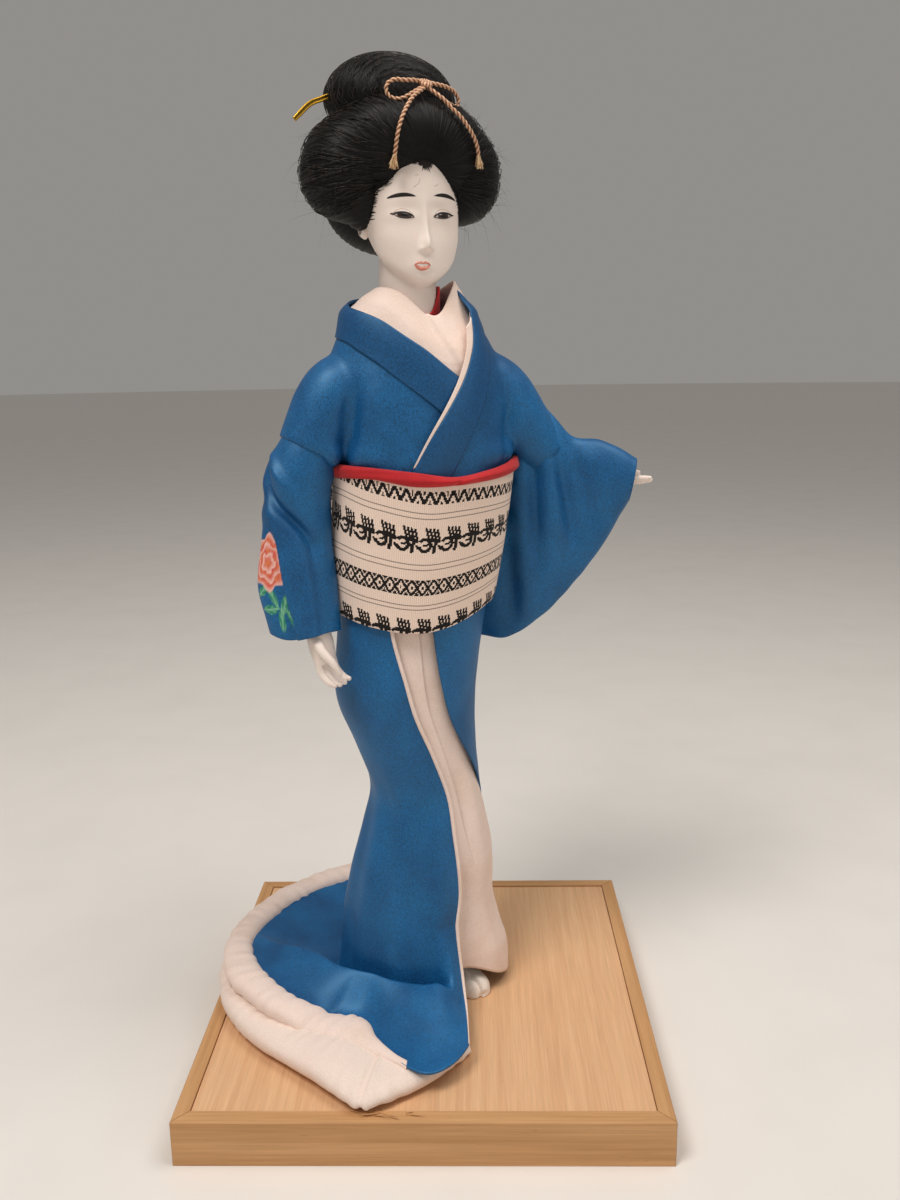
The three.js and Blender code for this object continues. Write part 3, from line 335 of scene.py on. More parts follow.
def melded(name, grids, voxel, rounds):
    """Closed skins melted into one by a voxel remesh and smoothing. Gives its points and quads."""
    parts = [skin(f"{name}_part", g, around=True, ends="az") for g in grids]
    with bpy.context.temp_override(active_object=parts[0], selected_editable_objects=parts):
        bpy.ops.object.join()
    lump = parts[0]
    remesh = lump.modifiers.new("meld", "REMESH")
    remesh.mode = "VOXEL"
    remesh.voxel_size = voxel * MM
    ease = lump.modifiers.new("ease", "SMOOTH")
    ease.factor = 0.5
    ease.iterations = rounds
    found = lump.evaluated_get(bpy.context.evaluated_depsgraph_get()).to_mesh()
    points = np.empty(len(found.vertices) * 3)
    found.vertices.foreach_get("co", points)
    quads = np.empty(len(found.loops), int)
    found.loops.foreach_get("vertex_index", quads)
    bpy.data.objects.remove(lump)
    return points.reshape(-1, 3), quads.reshape(-1, 4)


def cloth(name, grid, material, nodes, slot, thick, held, rests_on, around=False, layers=1, **form):
    """A piece of cloth on the figure: its skin with its thickness. Its slot, how it is held, what it rests on
    and its layers are not used.
    """
    made = skin(name, grid, around=around, **form)
    settle(made, material, "doll", nodes, thick)


def pad(name, grid, material, rider, nodes, slot, fill, place=FIGURE, **form):
    """A padded piece: a skin closed round and at its ends. How full it is (fill) is not used."""
    made = skin(name, grid, place, around=True, ends="az", **form)
    settle(made, material, rider, nodes)


def painted(name, grid, material, thick, inside=(0, 0, 350), slot="white_skin", **form):
    """A thin piece painted on the head, which faces away from a place inside it."""
    settle(skin(name, grid, HEAD, inside=inside, **form), material, "head", (), thick)


def strands_of(name, paths, radius, sides, material, rider, place=HEAD):
    """Fine threads as one piece: rings of a few sides round each path, closed at both ends."""
    threads = rings(paths, np.broadcast_to(radius, paths.shape[:2]), sides)
    return settle(skin(name, threads, place, around=True, ends="az"), material, rider, ())


# Materials

def connect(tree, socket, value):
    """Links a node's output to a socket, or sets the socket to a plain value or a hex colour."""
    if isinstance(value, bpy.types.NodeSocket):
        tree.links.new(value, socket)
    else:
        socket.default_value = linear(value) if isinstance(value, str) else value


def node(tree, kind, inputs=(), out=0, **settings):
    """Adds one shader node with its settings and inputs, in order or by name, and gives an output."""
    made = tree.nodes.new("ShaderNode" + kind)
    for key, value in settings.items():
        setattr(made, key, value)
    pairs = inputs.items() if isinstance(inputs, dict) else enumerate(inputs)
    for key, value in pairs:
        connect(tree, made.inputs[key], value)
    return made.outputs[out]


def finish(name, **sockets):
    """A new material, a function that adds nodes to it and one that sets or links its shader."""
    material = bpy.data.materials.new(name)
    material.use_nodes = True
    tree = material.node_tree
    shader = tree.nodes["Principled BSDF"]

    def lay(**values):
        for key, value in values.items():
            connect(tree, shader.inputs[key.replace("_", " ")], value)

    lay(**sockets)
    return material, partial(node, tree), lay


def grain(add, source, sizes, detail=2.0, rough=0.5):
    """Noise whose lumps are about the given millimetres long in each direction."""
    scale = tuple(1000 / size for size in sizes)
    moved = add("Mapping", {"Vector": add("TexCoord", out=source), "Scale": scale})
    return add("TexNoise", {"Vector": moved, "Scale": 1.0, "Detail": detail, "Roughness": rough}, out="Fac")


def satin(name, lit, deep, print_on=None):
    """Satin of fine filament: long floats give a soft broad sheen and a faint speckle of threads, here
    drawn at half a millimetre, coarser than the real thread so that it shows. A print may be laid on its
    colour."""
    material, add, lay = finish(name, IOR=1.6, Specular_IOR_Level=0.9, Specular_Tint="#9CCDEC")
    threads = grain(add, "Object", (0.5, 0.5, 0.8), 1.0)
    cloudy = grain(add, "Object", (22, 22, 34))
    tone = add("MixRGB", [add("MapRange", [cloudy, 0.3, 0.7]), deep, lit])
    speckle = add("MapRange", [threads, 0.3, 0.7, 0.62, 1.34])
    woven_tone = add("MixRGB", [1.0, tone, speckle], blend_type="MULTIPLY")
    lay(Base_Color=print_on(add, woven_tone) if print_on else woven_tone,
        Roughness=add("MapRange", [threads, 0.2, 0.8, 0.44, 0.58]),
        Normal=add("Bump", {"Height": threads, "Strength": 0.35, "Distance": 0.14 * MM}))
    return material


def peony_print(add, satin_tone):
    """A hand-printed peony spray: petals that run from coral at the heart to pale pink at their rims, and
    green leaves with paler veins. The marks say where the bloom and the leaves lie and how pale each is."""
    bloom, petal, leaf, vein = (add("Attribute", attribute_name=key, out="Fac") for key in PEONY_MARKS)
    brushed = add("MapRange", [grain(add, "Object", (1.2, 1.2, 2.4)), 0.35, 0.65])
    coral = add("MixRGB", [brushed, "#D9503F", "#E07A3C"])
    pink = add("MixRGB", [petal, coral, "#F6C2B6"])
    green = add("MixRGB", [vein, "#23805A", "#8CC6A0"])
    return add("MixRGB", [bloom, add("MixRGB", [leaf, satin_tone, green]), pink])


def crepe(name, pale, soiled, wrinkle=0.3):
    """Thin silk crepe of uneven threads: a matt, faintly pebbled surface that yellows in patches."""
    material, add, lay = finish(name, Roughness=0.82, Sheen_Weight=0.15, Specular_IOR_Level=0.25,
                                Sheen_Tint="#FFF4E4")
    pebble = grain(add, "Object", (0.7, 0.7, 0.7), 3.0)
    patches = grain(add, "Object", (22, 22, 14), 4.0, 0.6)
    tone = add("MixRGB", [add("MapRange", [patches, 0.42, 0.72]), pale, soiled])
    shade = add("MapRange", [pebble, 0.25, 0.75, 0.92, 1.05])
    lay(Base_Color=add("MixRGB", [1.0, tone, shade], blend_type="MULTIPLY"),
        Normal=add("Bump", {"Height": pebble, "Strength": wrinkle, "Distance": 0.25 * MM}))
    return material


def brocade(name, ground, ink):
    """Ribbed cotton sash cloth with a black supplementary weft: raised warp ribs nearly a millimetre apart
    and woven figures with stepped edges, read from the mark on each thread cell."""
    material, add, lay = finish(name, Roughness=0.85, Specular_IOR_Level=0.2, Sheen_Weight=0.1)
    rib_pitch, wave_period = 0.9 * MM, 0.314
    scale = (wave_period / rib_pitch, 1, 1)
    flat = add("Mapping", {"Vector": add("TexCoord", out="UV"), "Scale": scale})
    ribs = add("TexWave", {"Vector": flat, "Scale": 1.0, "Distortion": 0.0}, out="Fac")
    ribbed = add("MixRGB", [1.0, ground, add("MapRange", [ribs, 0, 1, 0.86, 1.03])], blend_type="MULTIPLY")
    fluff = add("MapRange", [grain(add, "UV", (0.8, 0.6, 1), 3.0), 0.2, 0.8, 0.93, 1.05])
    plain = add("MixRGB", [1.0, ribbed, fluff], blend_type="MULTIPLY")
    lay(Base_Color=add("MixRGB", [add("Attribute", attribute_name="ink", out="Fac"), plain, ink]),
        Normal=add("Bump", {"Height": ribs, "Strength": 0.35, "Distance": 0.15 * MM}))
    return material


def timber(name, pale, dark, along, pores):
    """Planed, unfinished wood: long streaks of early and late wood along the grain and short darker pores."""
    material, add, lay = finish(name, Specular_IOR_Level=0.3)

    def streaks(long, thin, detail, rough):
        return grain(add, "Object", (long, thin, thin) if along == "x" else (thin, long, thin), detail, rough)

    broad = streaks(150, 3.2, 3.0, 0.55)
    fine = streaks(26, 0.55, 2.0, 0.5)
    short = streaks(7, 0.8, 2.0, 0.6)
    tone = add("MixRGB", [add("MapRange", [broad, 0.36, 0.68]), pale, dark])
    for shade in ([fine, 0.25, 0.75, 0.9, 1.08], [short, 0.66, 0.74, 1.0, 1 - pores]):
        tone = add("MixRGB", [1.0, tone, add("MapRange", shade)], blend_type="MULTIPLY")
    lay(Base_Color=tone, Roughness=add("MapRange", [fine, 0.2, 0.8, 0.52, 0.72]),
        Normal=add("Bump", {"Height": fine, "Strength": 0.2, "Distance": 0.15 * MM}))
    return material


def painted_white(name, white, worn):
    """Shell-white paint on a moulded head or hand: a chalky, even white with faint handling marks."""
    material, add, lay = finish(name, Specular_IOR_Level=0.35, Subsurface_Weight=0.06, Subsurface_Scale=0.002)
    patches = grain(add, "Object", (13, 13, 13), 4.0, 0.6)
    dust = grain(add, "Object", (0.8, 0.8, 0.8))
    lay(Base_Color=add("MixRGB", [add("MapRange", [patches, 0.5, 0.8, 0, 0.55]), white, worn]),
        Roughness=add("MapRange", [dust, 0.3, 0.7, 0.45, 0.58]),
        Normal=add("Bump", {"Height": dust, "Strength": 0.04, "Distance": 0.08 * MM}))
    return material


def plain_paint(name, colour, edge, rough, lumps=0.6):
    """Brushed pigment: one colour that thins to a second in small streaks."""
    material, add, lay = finish(name, Roughness=rough, Specular_IOR_Level=0.35)
    streaks = grain(add, "Object", (lumps, lumps, lumps * 2))
    lay(Base_Color=add("MixRGB", [add("MapRange", [streaks, 0.42, 0.72]), colour, edge]))
    return material


def silk_hair(name, dark, painted_glint):
    """Combed black silk fibre: near black, with painted highlights: narrow lighter glints mixed into its
    colour along the strands.
    """
    material, add, lay = finish(name, Specular_IOR_Level=0.2)
    strands = grain(add, "UV", (0.32, 26, 1), 2.0, 0.6)
    locks = grain(add, "UV", (2.6, 60, 1))
    # Painted highlight: the second colour is mixed into the base colour along the strands.
    tone = add("MixRGB", [add("MapRange", [strands, 0.45, 0.8]), dark, painted_glint])
    relief = add("Math", [strands, locks], operation="ADD")
    lay(Base_Color=add("MixRGB", [add("MapRange", [locks, 0.3, 0.7, 0.0, 0.5]), tone, dark]),
        Roughness=add("MapRange", [strands, 0.25, 0.75, 0.6, 0.36]),
        Normal=add("Bump", {"Height": relief, "Strength": 0.7, "Distance": 0.35 * MM}))
    return material


def twisted_thread(name, light, groove):
    """Twisted rayon cord with metal-wrapped thread, with painted highlights on the crests of the plies and
    painted shade in the groove between them.
    """
    material, add, lay = finish(name, Roughness=0.42, Metallic=0.25, Sheen_Weight=0.2, Sheen_Roughness=0.4)
    ply = add("Attribute", attribute_name="groove", out="Fac")
    fibres = grain(add, "UV", (0.35, 0.35, 1), 1.0)
    # Painted highlight on the ply crests and painted shade in the groove, set by the groove mark.
    tone = add("MixRGB", [add("MapRange", [ply, 0.25, 0.9]), light, groove])
    shade = add("MapRange", [fibres, 0.2, 0.8, 0.75, 1.2])
    lay(Base_Color=add("MixRGB", [1.0, tone, shade], blend_type="MULTIPLY"),
        Normal=add("Bump", {"Height": fibres, "Strength": 0.4, "Distance": 0.15 * MM}))
    return material


def gilt(name, bright, worn):
    """Thin gilding on brass strip: bright and slightly uneven, with a dull brown line down its groove."""
    material, add, lay = finish(name, Metallic=0.9)
    groove = add("Attribute", attribute_name="groove", out="Fac")
    rubbed = grain(add, "Object", (1.4, 1.4, 1.4), 3.0)
    tone = add("MixRGB", [add("MapRange", [rubbed, 0.45, 0.75, 0, 0.5]), bright, worn])
    lay(Base_Color=add("MixRGB", [groove, tone, "#2A1B08"]),
        Roughness=add("MapRange", [rubbed, 0.3, 0.7, 0.24, 0.42]))
    return material


def wound_tape(name, paper, straw):
    """Wood wool bound with paper tape: matt straw strands and slanting turns of pale paper."""
    material, add, lay = finish(name, Roughness=0.95, Specular_IOR_Level=0.15)
    fibres = grain(add, "Object", (0.5, 0.5, 6), 3.0)
    tone = add("MixRGB", [add("Attribute", attribute_name="groove", out="Fac"), paper, straw])
    shade = add("MapRange", [fibres, 0.2, 0.8, 0.7, 1.15])
    lay(Base_Color=add("MixRGB", [1.0, tone, shade], blend_type="MULTIPLY"),
        Normal=add("Bump", {"Height": fibres, "Strength": 0.6, "Distance": 0.4 * MM}))
    return material


def drawn_wire(name, steel, dull):
    """Drawn steel wire: grey metal with fine marks of the die."""
    material, add, lay = finish(name, Metallic=1.0)
    die_marks = grain(add, "Object", (0.4, 0.4, 4))
    lay(Base_Color=add("MixRGB", [die_marks, steel, dull]),
        Roughness=add("MapRange", [die_marks, 0.2, 0.8, 0.3, 0.5]))
    return material


def inset_eye(name):
    """Glossy inset eye: pale grey white, brown iris with fine rays and a black pupil, read from its own
    flat map in millimetres from the middle of the iris."""
    material, add, lay = finish(name, Roughness=0.12, Specular_IOR_Level=0.5, Coat_Weight=0.4,
                                Coat_Roughness=0.05)
    iris_edge, pupil_edge, soft_edge = 2.55 * MM, 1.05 * MM, 0.2 * MM
    away = add("VectorMath", [add("TexCoord", out="UV")], operation="LENGTH", out="Value")
    rays = grain(add, "UV", (0.5, 0.5, 1), 3.0)
    iris = add("MixRGB", [rays, "#3A2418", "#1A100C"])
    white = add("MixRGB", [rays, "#B9AAA0", "#A3958C"])
    tone = add("MixRGB", [add("MapRange", [away, iris_edge, iris_edge + soft_edge]), iris, white])
    pupil = add("MapRange", [away, pupil_edge, pupil_edge + soft_edge])
    lay(Base_Color=add("MixRGB", [pupil, "#050404", tone]))
    return material


def lip_paint(name, coral, teeth):
    """Coral lip paint round a strip of white teeth: the mark runs from 0 for lips to 1 for teeth."""
    material, add, lay = finish(name, Roughness=0.35, Specular_IOR_Level=0.45)
    streaks = grain(add, "Object", (0.5, 0.5, 1.2))
    lips = add("MixRGB", [add("MapRange", [streaks, 0.35, 0.75]), coral, "#C05A48"])
    lay(Base_Color=add("MixRGB", [add("Attribute", attribute_name="teeth", out="Fac"), lips, teeth]))
    return material


# The dressed body

BODY = stations([
    [20, -1, 1, 37, 34], [40, -1, 1, 35.5, 32.5], [66, 1.5, 0, 32.5, 29.5], [81, 2.5, 0, 29, 27.5],
    [99, 3, 0, 25.5, 25.5], [121, -1, 0.5, 28, 26.5], [143, -5, 1, 32, 27.5], [178, -2, 0.5, 33.5, 27.5],
    [213, 1.5, -1.5, 36, 28], [247, 4.2, -3.5, 37.5, 28.5], [266, 3, -3.5, 41, 28], [281, 2, -3, 41.5, 26.5],
    [296, 1, -3, 35.5, 24], [306, 0, -3.3, 30.5, 21.5], [317, -1, -3.6, 25.5, 18.5],
])


def body(angle, z, out=0.0):
    """A place on the dressed body: an oval at each height, the angle from the front to the doll's left."""
    x, y, wide, deep = BODY(z)
    return np.stack([x + (wide + out) * np.sin(angle), y - (deep + out) * np.cos(angle), z + 0 * angle], -1)


def neckline(angle):
    """Height of the bodice's edge: level behind, with a bell-shaped dip a little left of the front."""
    return 311 - 20 * bell(wrap(angle - np.radians(16)), 0, np.radians(40))


# Skirt, train and hem

SKIRT_EDGE = stations([
    [0, -30, 1], [0.05, -26, 5], [0.148, -11, 17], [0.256, 0, 34], [0.31, 5, 52], [0.36, 9, 72],
    [0.42, 12, 88], [0.488, 15, 95], [0.55, 17, 97], [0.6, 15, 98], [0.75, 12, 100], [1, 1, 110],
])
HEM_ROW = stations([
    [-240, 50, 58, 1], [-220, 64, 70, 1], [-200, 76, 82, 1], [-180, 82, 88, 1], [-160, 84, 90, 1],
    [-140, 84.5, 90.5, 1], [-120, 86, 91.5, 1], [-105, 88, 92.5, 1], [-92, 87, 92, 1], [-77, 82, 89.5, 1],
    [-58, 77, 87.5, 1], [-45, 73, 91, 1], [-36, 71, 97, 0.95], [-29, 72, 100, 0.85], [-20, 74, 90, 0.75],
    [-11, 70, 79, 0.65], [2, 62, 64, 0.6],
])
TRAIN_EDGE = stations([
    [-240, 42], [-220, 56], [-200, 68], [-180, 74], [-160, 77], [-140, 78.5], [-120, 81], [-108, 84],
    [-92, 80], [-75, 74], [-65, 70.5], [-55, 63.5], [-46, 58.5], [-40, 61], [-33, 69], [-26, 79], [-20, 87],
    [-14, 91.5], [-8, 87], [-1.4, 77], [4, 66], [12, 53], [20, 46],
])
TRAIN_RIDGE = stations([
    [-170, 0.97, 16], [-125, 0.97, 17.5], [-112, 0.95, 18.5], [-105, 0.8, 20.5], [-98, 0.62, 22.5],
    [-89, 0.42, 24], [-68, 0.28, 24], [-50, 0.26, 23.5], [-28, 0.16, 22], [-14, 0.13, 21.5], [5, 0.15, 22],
])

# Lowest places of the train before its ridge and of the upper roll's middle, and the hem tongue's height
TRAIN_TROUGH = 9
ROLL_LEAST = 9
HEM_TONGUE = 11.2


def roll_top(degrees):
    """Height of the upper roll's middle as it shows, never sunk between the other roll and the train."""
    return np.maximum(upper_roll_height(degrees), ROLL_LEAST)


def upper_roll_height(degrees):
    """Height of the upper roll's middle: it lies against the lower roll, two radii away, or on the deck."""
    upper, lower, share = HEM_ROW(degrees)
    low = ROLL_RADIUS * share
    reach = ROLL_RADIUS + low + 0.72
    apart = np.minimum(lower - upper, reach)
    return np.maximum(0.6 + low + np.sqrt(reach ** 2 - apart ** 2), ROLL_RADIUS + 0.6)


def skirt(u, v):
    """The skirt: down to TRAIN_TOP the body's ovals between the two front edges, with folds that deepen.
    Below it each line leaves the body outwards; behind, it falls as a power of the way to the hem, and in
    front it drops to a trough, rises to a ridge and slopes down to the hem."""
    upper, under = SKIRT_EDGE(v)
    degrees = mix(upper, under - 360, u)
    angle = np.radians(degrees)
    fold = 1.1 * (1 - np.cos(9 * TAU * u)) / 2
    drop = np.clip(v / COLUMN_SHARE, 0, 1)
    column = body(angle, mix(SKIRT_TOP, TRAIN_TOP, drop), fold * smooth(drop, 0.3, 1))
    s = np.clip((v - COLUMN_SHARE) / (1 - COLUMN_SHARE), 0, 1)
    start = body(angle, np.full_like(u, TRAIN_TOP), fold)
    bearing = np.arctan2(start[..., 0], -start[..., 1])
    facing = degrees + np.degrees(wrap(bearing - angle))
    radius = np.hypot(start[..., 0], start[..., 1])
    reach = TRAIN_EDGE(facing)[0]
    hem = mix(roll_top(facing) + 1.5, HEM_TONGUE, smooth(facing, -36, -22))
    plain = mix(radius, reach, s)
    sag = 5 * np.sin(np.pi * s) * (1 - smooth(facing, -95, -70))
    plain_z = hem + (TRAIN_TOP - hem) * (1 - s) ** 3.2 - sag
    share, crest = TRAIN_RIDGE(facing)
    foot = radius + 3.5
    top = mix(foot, reach, share)
    end = 0.22 + 0.78 * share ** 0.7
    down, rise = smooth(s, 0, 0.26), smooth(s, 0.2, end)
    out = np.clip((s - end + 0.06) / (1.06 - end), 0, 1)
    folded = mix(mix(radius, foot, down), top, rise) + (reach - top) * out ** 1.3
    folded_z = mix(mix(TRAIN_TOP, TRAIN_TROUGH, down), crest, rise) + (hem - crest) * smooth(out, 0, 1)
    swept = smooth(facing, -168, -138) * (1 - smooth(facing, -8, 5))
    distance = mix(plain, folded, swept)
    z = mix(plain_z, folded_z, swept)
    train = np.stack([distance * np.sin(bearing), -distance * np.cos(bearing), z], -1)
    return np.where((v <= COLUMN_SHARE)[..., None], column, train)


def build_skirt(look):
    """The skirt's cloth with soft unevenness, and the pale lining that shows along its front edge, a cord
    of shrinking radius carried along that edge."""
    down = np.concatenate([np.linspace(0, COLUMN_SHARE, 84)[:-1], np.linspace(COLUMN_SHARE, 1, 104)])
    u, v = np.meshgrid(np.linspace(0, 1, 230), down)
    grid = skirt(u, v)
    soft = 0.5 * ripple(grid, 34, 3) + 0.2 * ripple(grid, 13, 5)
    bearing = np.degrees(np.arctan2(grid[..., 0], -grid[..., 1]))
    pull = 1.6 * bell(bearing, -22, 9) * bell(grid[..., 2], 62, 24)
    grid = swell(grid, soft * smooth(v, 0.02, 0.2) + pull)
    cloth("kimono_skirt_cloth", grid, look.blue, ["kimono_skirt"], "blue_satin", SATIN_THICK, "draped",
          ["underskirt_cloth", "hem_roll_upper_pad"], inside=(0, 0, 60))
    share = np.linspace(0.02, 1, 150)
    trim = rings(skirt(0 * share, share), 0.9 - 0.65 * smooth(share, 0.7, 1), 8)
    settle(skin("skirt_lining_edge", trim, around=True, ends="az"), look.cream, "doll", ())


OVER_PANEL = stations([[0.02, -9.8], [0.148, 5.8], [0.256, 17.4], [0.37, 30.2], [0.44, 42.3], [0.52, 56]])


def under_layer(angle, v, depth):
    """The underskirt's surface: the body's ovals inside the skirt by a depth, flared at the doll's left
    foot and full where the skirt stands open, from a hem that lifts over the toes."""
    turn = np.degrees(wrap(angle))
    hem = 2 + 14 * bell(turn, 22, 30)
    z = mix(hem, SKIRT_TOP - 2, v)
    fold = 1.1 * (1 - np.cos(9 * angle)) * (1 - smooth(z, 60, 150))
    flare = 6.5 * bell(turn, 66, 34) * (1 - smooth(z, 8, 46))
    open_side = 3.4 * smooth(turn, 22, 50) * (1 - smooth(turn, 84, 98)) * (1 - smooth(z, 84, 122))
    return body(angle, z, flare + open_side - depth - fold / 2)


def build_underskirt(look):
    """The underskirt, and over it a second front panel whose edge shows in the skirt's opening and whose
    foot sinks into the underskirt."""
    angle, v = field(130, 200, u=(0, TAU), closed=True)
    grid = under_layer(angle, v, CLOTH + 1.5)
    grid = swell(grid, 0.4 * ripple(grid, 16, 8) * (1 - 0.6 * v), around=True)
    cloth("underskirt_cloth", grid, look.cream, ["underskirt"], "cream_cloth", CREPE_THICK, "hung",
          ["torso_core_wound"], around=True)
    u, v = field(120, 60)
    share = mix(0.02, 0.52, v)
    turn = mix(SKIRT_EDGE(share)[0] - 35, OVER_PANEL(share)[0], u)
    z = mix(SKIRT_TOP - 2, 28, v)
    open_side = 3.4 * smooth(turn, 22, 50) * (1 - smooth(z, 84, 122))
    panel = body(np.radians(turn), z, open_side - CLOTH - 0.55 - 2.4 * smooth(v, 0.62, 0.92))
    cloth("underskirt_over_panel", panel, look.cream, (), "cream_cloth", 0.5, "hung", ["underskirt_cloth"],
          inside=(0, 0, 110))


UPPER_ROLL = stations([
    [-224, 52, 66], [-215, 58, 71], [-200, 67, 80], [-180, 73, 88.5], [-160, 76, 91], [-140, 77.5, 92],
    [-120, 80, 94], [-105, 82, 95.5], [-92, 79, 95], [-75, 73, 88], [-65, 69.5, 84.5], [-52, 61, 79],
    [-45, 58, 77.5], [-38, 61, 78.5], [-32, 69, 80], [-26, 76, 82.5], [-19, 83, 88], [-14, 86, 89],
])
LOWER_ROLL = stations([
    [-226, 54, 68, 4.6], [-215, 60, 76, 5.2], [-200, 70, 87, 5.5], [-180, 76, 93.5, 5.5],
    [-160, 78, 95.5, 5.5], [-140, 79, 96, 5.5], [-120, 80, 97, 5.5], [-105, 81, 98, 5.5],
    [-92, 81, 97.5, 5.5], [-74, 79, 96, 5.6], [-58, 73, 94.5, 5.8], [-45, 69, 96.5, 6.0],
    [-36, 69, 102, 5.8], [-29, 71, 106, 5.2], [-20, 73, 94.5, 4.6], [-11, 69, 83.5, 3.9],
    [2, 57, 68.5, 3.3],
])


def roll(degrees, inner, outer, height, tall, sides=36):
    """Padded roll round the train: at each bearing a flattened oval between two distances."""
    a = np.radians(degrees)[:, None]
    theta = circle(sides)[None]
    middle, half = (inner + outer)[:, None] / 2, (outer - inner)[:, None] / 2
    out = middle + half * signed(np.cos(theta), 0.85)
    z = height[:, None] + tall[:, None] * signed(np.sin(theta), 0.9)
    return np.stack([out * np.sin(a), -out * np.cos(a), z], -1)


def build_hem_rolls(look):
    """Two padded rolls: the lower one flat and broad at its mitred front corner, where a welt runs up from
    the tip, the upper one beside the train's edge and thinning out over the lower one. Both pucker in waves
    along them."""
    d = np.linspace(-224, -20, 320)
    inner, outer = UPPER_ROLL(d)
    thin = smooth(d, -226, -212) * mix(1, 0.2, smooth(d, -40, -21))
    height = mix(roll_top(d), 9.2, smooth(d, -40, -22))
    grid = roll(d, inner, outer, height, 5.0 * (0.35 + 0.65 * thin))
    way = 80 * np.radians(d)[:, None]
    waves = np.sin(TAU * way / 7.5 + 2 * ripple(grid, 20, 14))
    pucker = 0.3 * waves * smooth(np.abs(ripple(grid, 30, 13)), 0.05, 0.3)
    grid = swell(grid, 0.7 * ripple(grid, 22, 11) + 0.3 * ripple(grid, 8, 12) + pucker, around=True)
    pad("hem_roll_upper_pad", grid, look.cream, "doll", ["hem_roll_upper"], "cream_cloth", 0.6)
    d = np.linspace(-226, 2, 420)
    inner, outer, tall = LOWER_ROLL(d)
    tall = tall * (0.4 + 0.6 * smooth(d, -228, -212)) * (0.5 + 0.5 * smooth(-d, -4, 8))
    grid = roll(d, inner, outer, 0.4 + tall, tall)
    seam = 0.7 * bell(d, -28.2, 0.5)[:, None] - 0.8 * bell(d, -29.4, 0.7)[:, None]
    way = 92 * np.radians(d)[:, None]
    waves = np.sin(TAU * way / 6.5 + 2 * ripple(grid, 18, 24))
    pucker = 0.22 * waves * smooth(ripple(grid, 34, 23), 0.0, 0.3)
    grid = swell(grid, seam + 0.6 * ripple(grid, 24, 21) + 0.22 * ripple(grid, 8, 22) + pucker, around=True)
    grid[..., 2] = np.maximum(grid[..., 2], 0.35)
    pad("hem_roll_lower_pad", grid, look.white, "doll", ["hem_roll_lower"], "cream_cloth", 0.6)


# Bodice and sleeves

ARMS = {
    "left": [(20, -3, 284), (35, -4.5, 281), (50, -6, 263), (61, -7.6, 249.5), (70.5, -9.8, 245),
             (78, -12.5, 243)],
    "right": [(-20, -3, 284), (-33, -4, 280), (-46, -4, 256), (-55, -3, 226), (-49.2, -12.8, 193),
              (-47.6, -13, 183)],
}
HANDS = {"left": (107, -22.8, 235.5), "right": (-42, -13.5, 152)}


def build_bodice(look):
    """The upper kimono: the body's ovals and the two upper arms melted together, so that the shoulder runs
    into the chest, with creases from the armpits and a fullness above the scarf."""
    angle, v = field(60, 90, u=(0, TAU), closed=True)
    torso = body(angle, mix(SKIRT_TOP + 1, neckline(angle) + 1.5, v))
    arms = [tube(ARMS["right"][:3], [[13], [14.8], [14.2]], 30, 40),
            tube(ARMS["left"][:4], [[13], [14.5], [13], [9.5]], 36, 40)]
    points, quads = melded("kimono_bodice_cloth", [torso, *arms], 1.15, 14)
    made = mesh_object("kimono_bodice_cloth", points, [quads])
    local = unplaced(points)
    normals = np.empty(len(points) * 3)
    made.data.vertices.foreach_get("normal", normals)
    x, y, z = local.T
    front = smooth(-y, -4, 8)
    right = bell(x, -31.5 + 0.1 * (z - 262), 2.8) * smooth(z, 232, 250) * (1 - smooth(z, 270, 290))
    beside = bell(x, -26 + 0.25 * (z - 262), 4) * smooth(z, 236, 254) * (1 - smooth(z, 272, 292))
    left = bell(x, 37 + 0.2 * (z - 262), 2.6) * smooth(z, 240, 254) * (1 - smooth(z, 266, 284))
    slant = bell(x + 0.9 * (z - 258), -6, 3.2) * smooth(z, 246, 254) * (1 - smooth(z, 262, 276))
    creases = front * (-3.0 * right + 0.9 * beside - 1.8 * left - 0.7 * slant)
    aside = smooth(np.abs(np.degrees(np.arctan2(x, -y))), 25, 60) * (1 - smooth(np.abs(x), 38, 44))
    creases = creases + 2.6 * bell(z, 254, 5) * aside
    creases = creases + 0.45 * ripple(local, 26, 31) + 0.2 * ripple(local, 11, 32)
    points = points + normals.reshape(-1, 3) * (creases * MM)[:, None]
    made.data.vertices.foreach_set("co", points.astype(np.float32).reshape(-1))
    made.data.update()
    settle(made, look.blue, "doll", ["kimono_bodice"])


# The peony on the right sleeve: its marks, its heart's bearing and height, millimetres of cloth to a
# degree, and the place and slope of each leaf
PEONY_MARKS = ("bloom", "petal", "leaf", "vein")
PEONY_BEARING = -62
PEONY_HEIGHT = 211
SLEEVE_DEGREE = 0.29
PEONY_LEAVES = [
    (-4, -12.5, 40), (1.5, -14.5, 115), (7.5, -17, 60), (-1.5, -20.5, 20), (10.5, -22, 130), (4, -23.5, 80),
]
PRINT_EDGE = stations([[0, -75], [0.44, -75], [0.54, -56], [0.64, -41], [0.79, -31], [1, -20]])


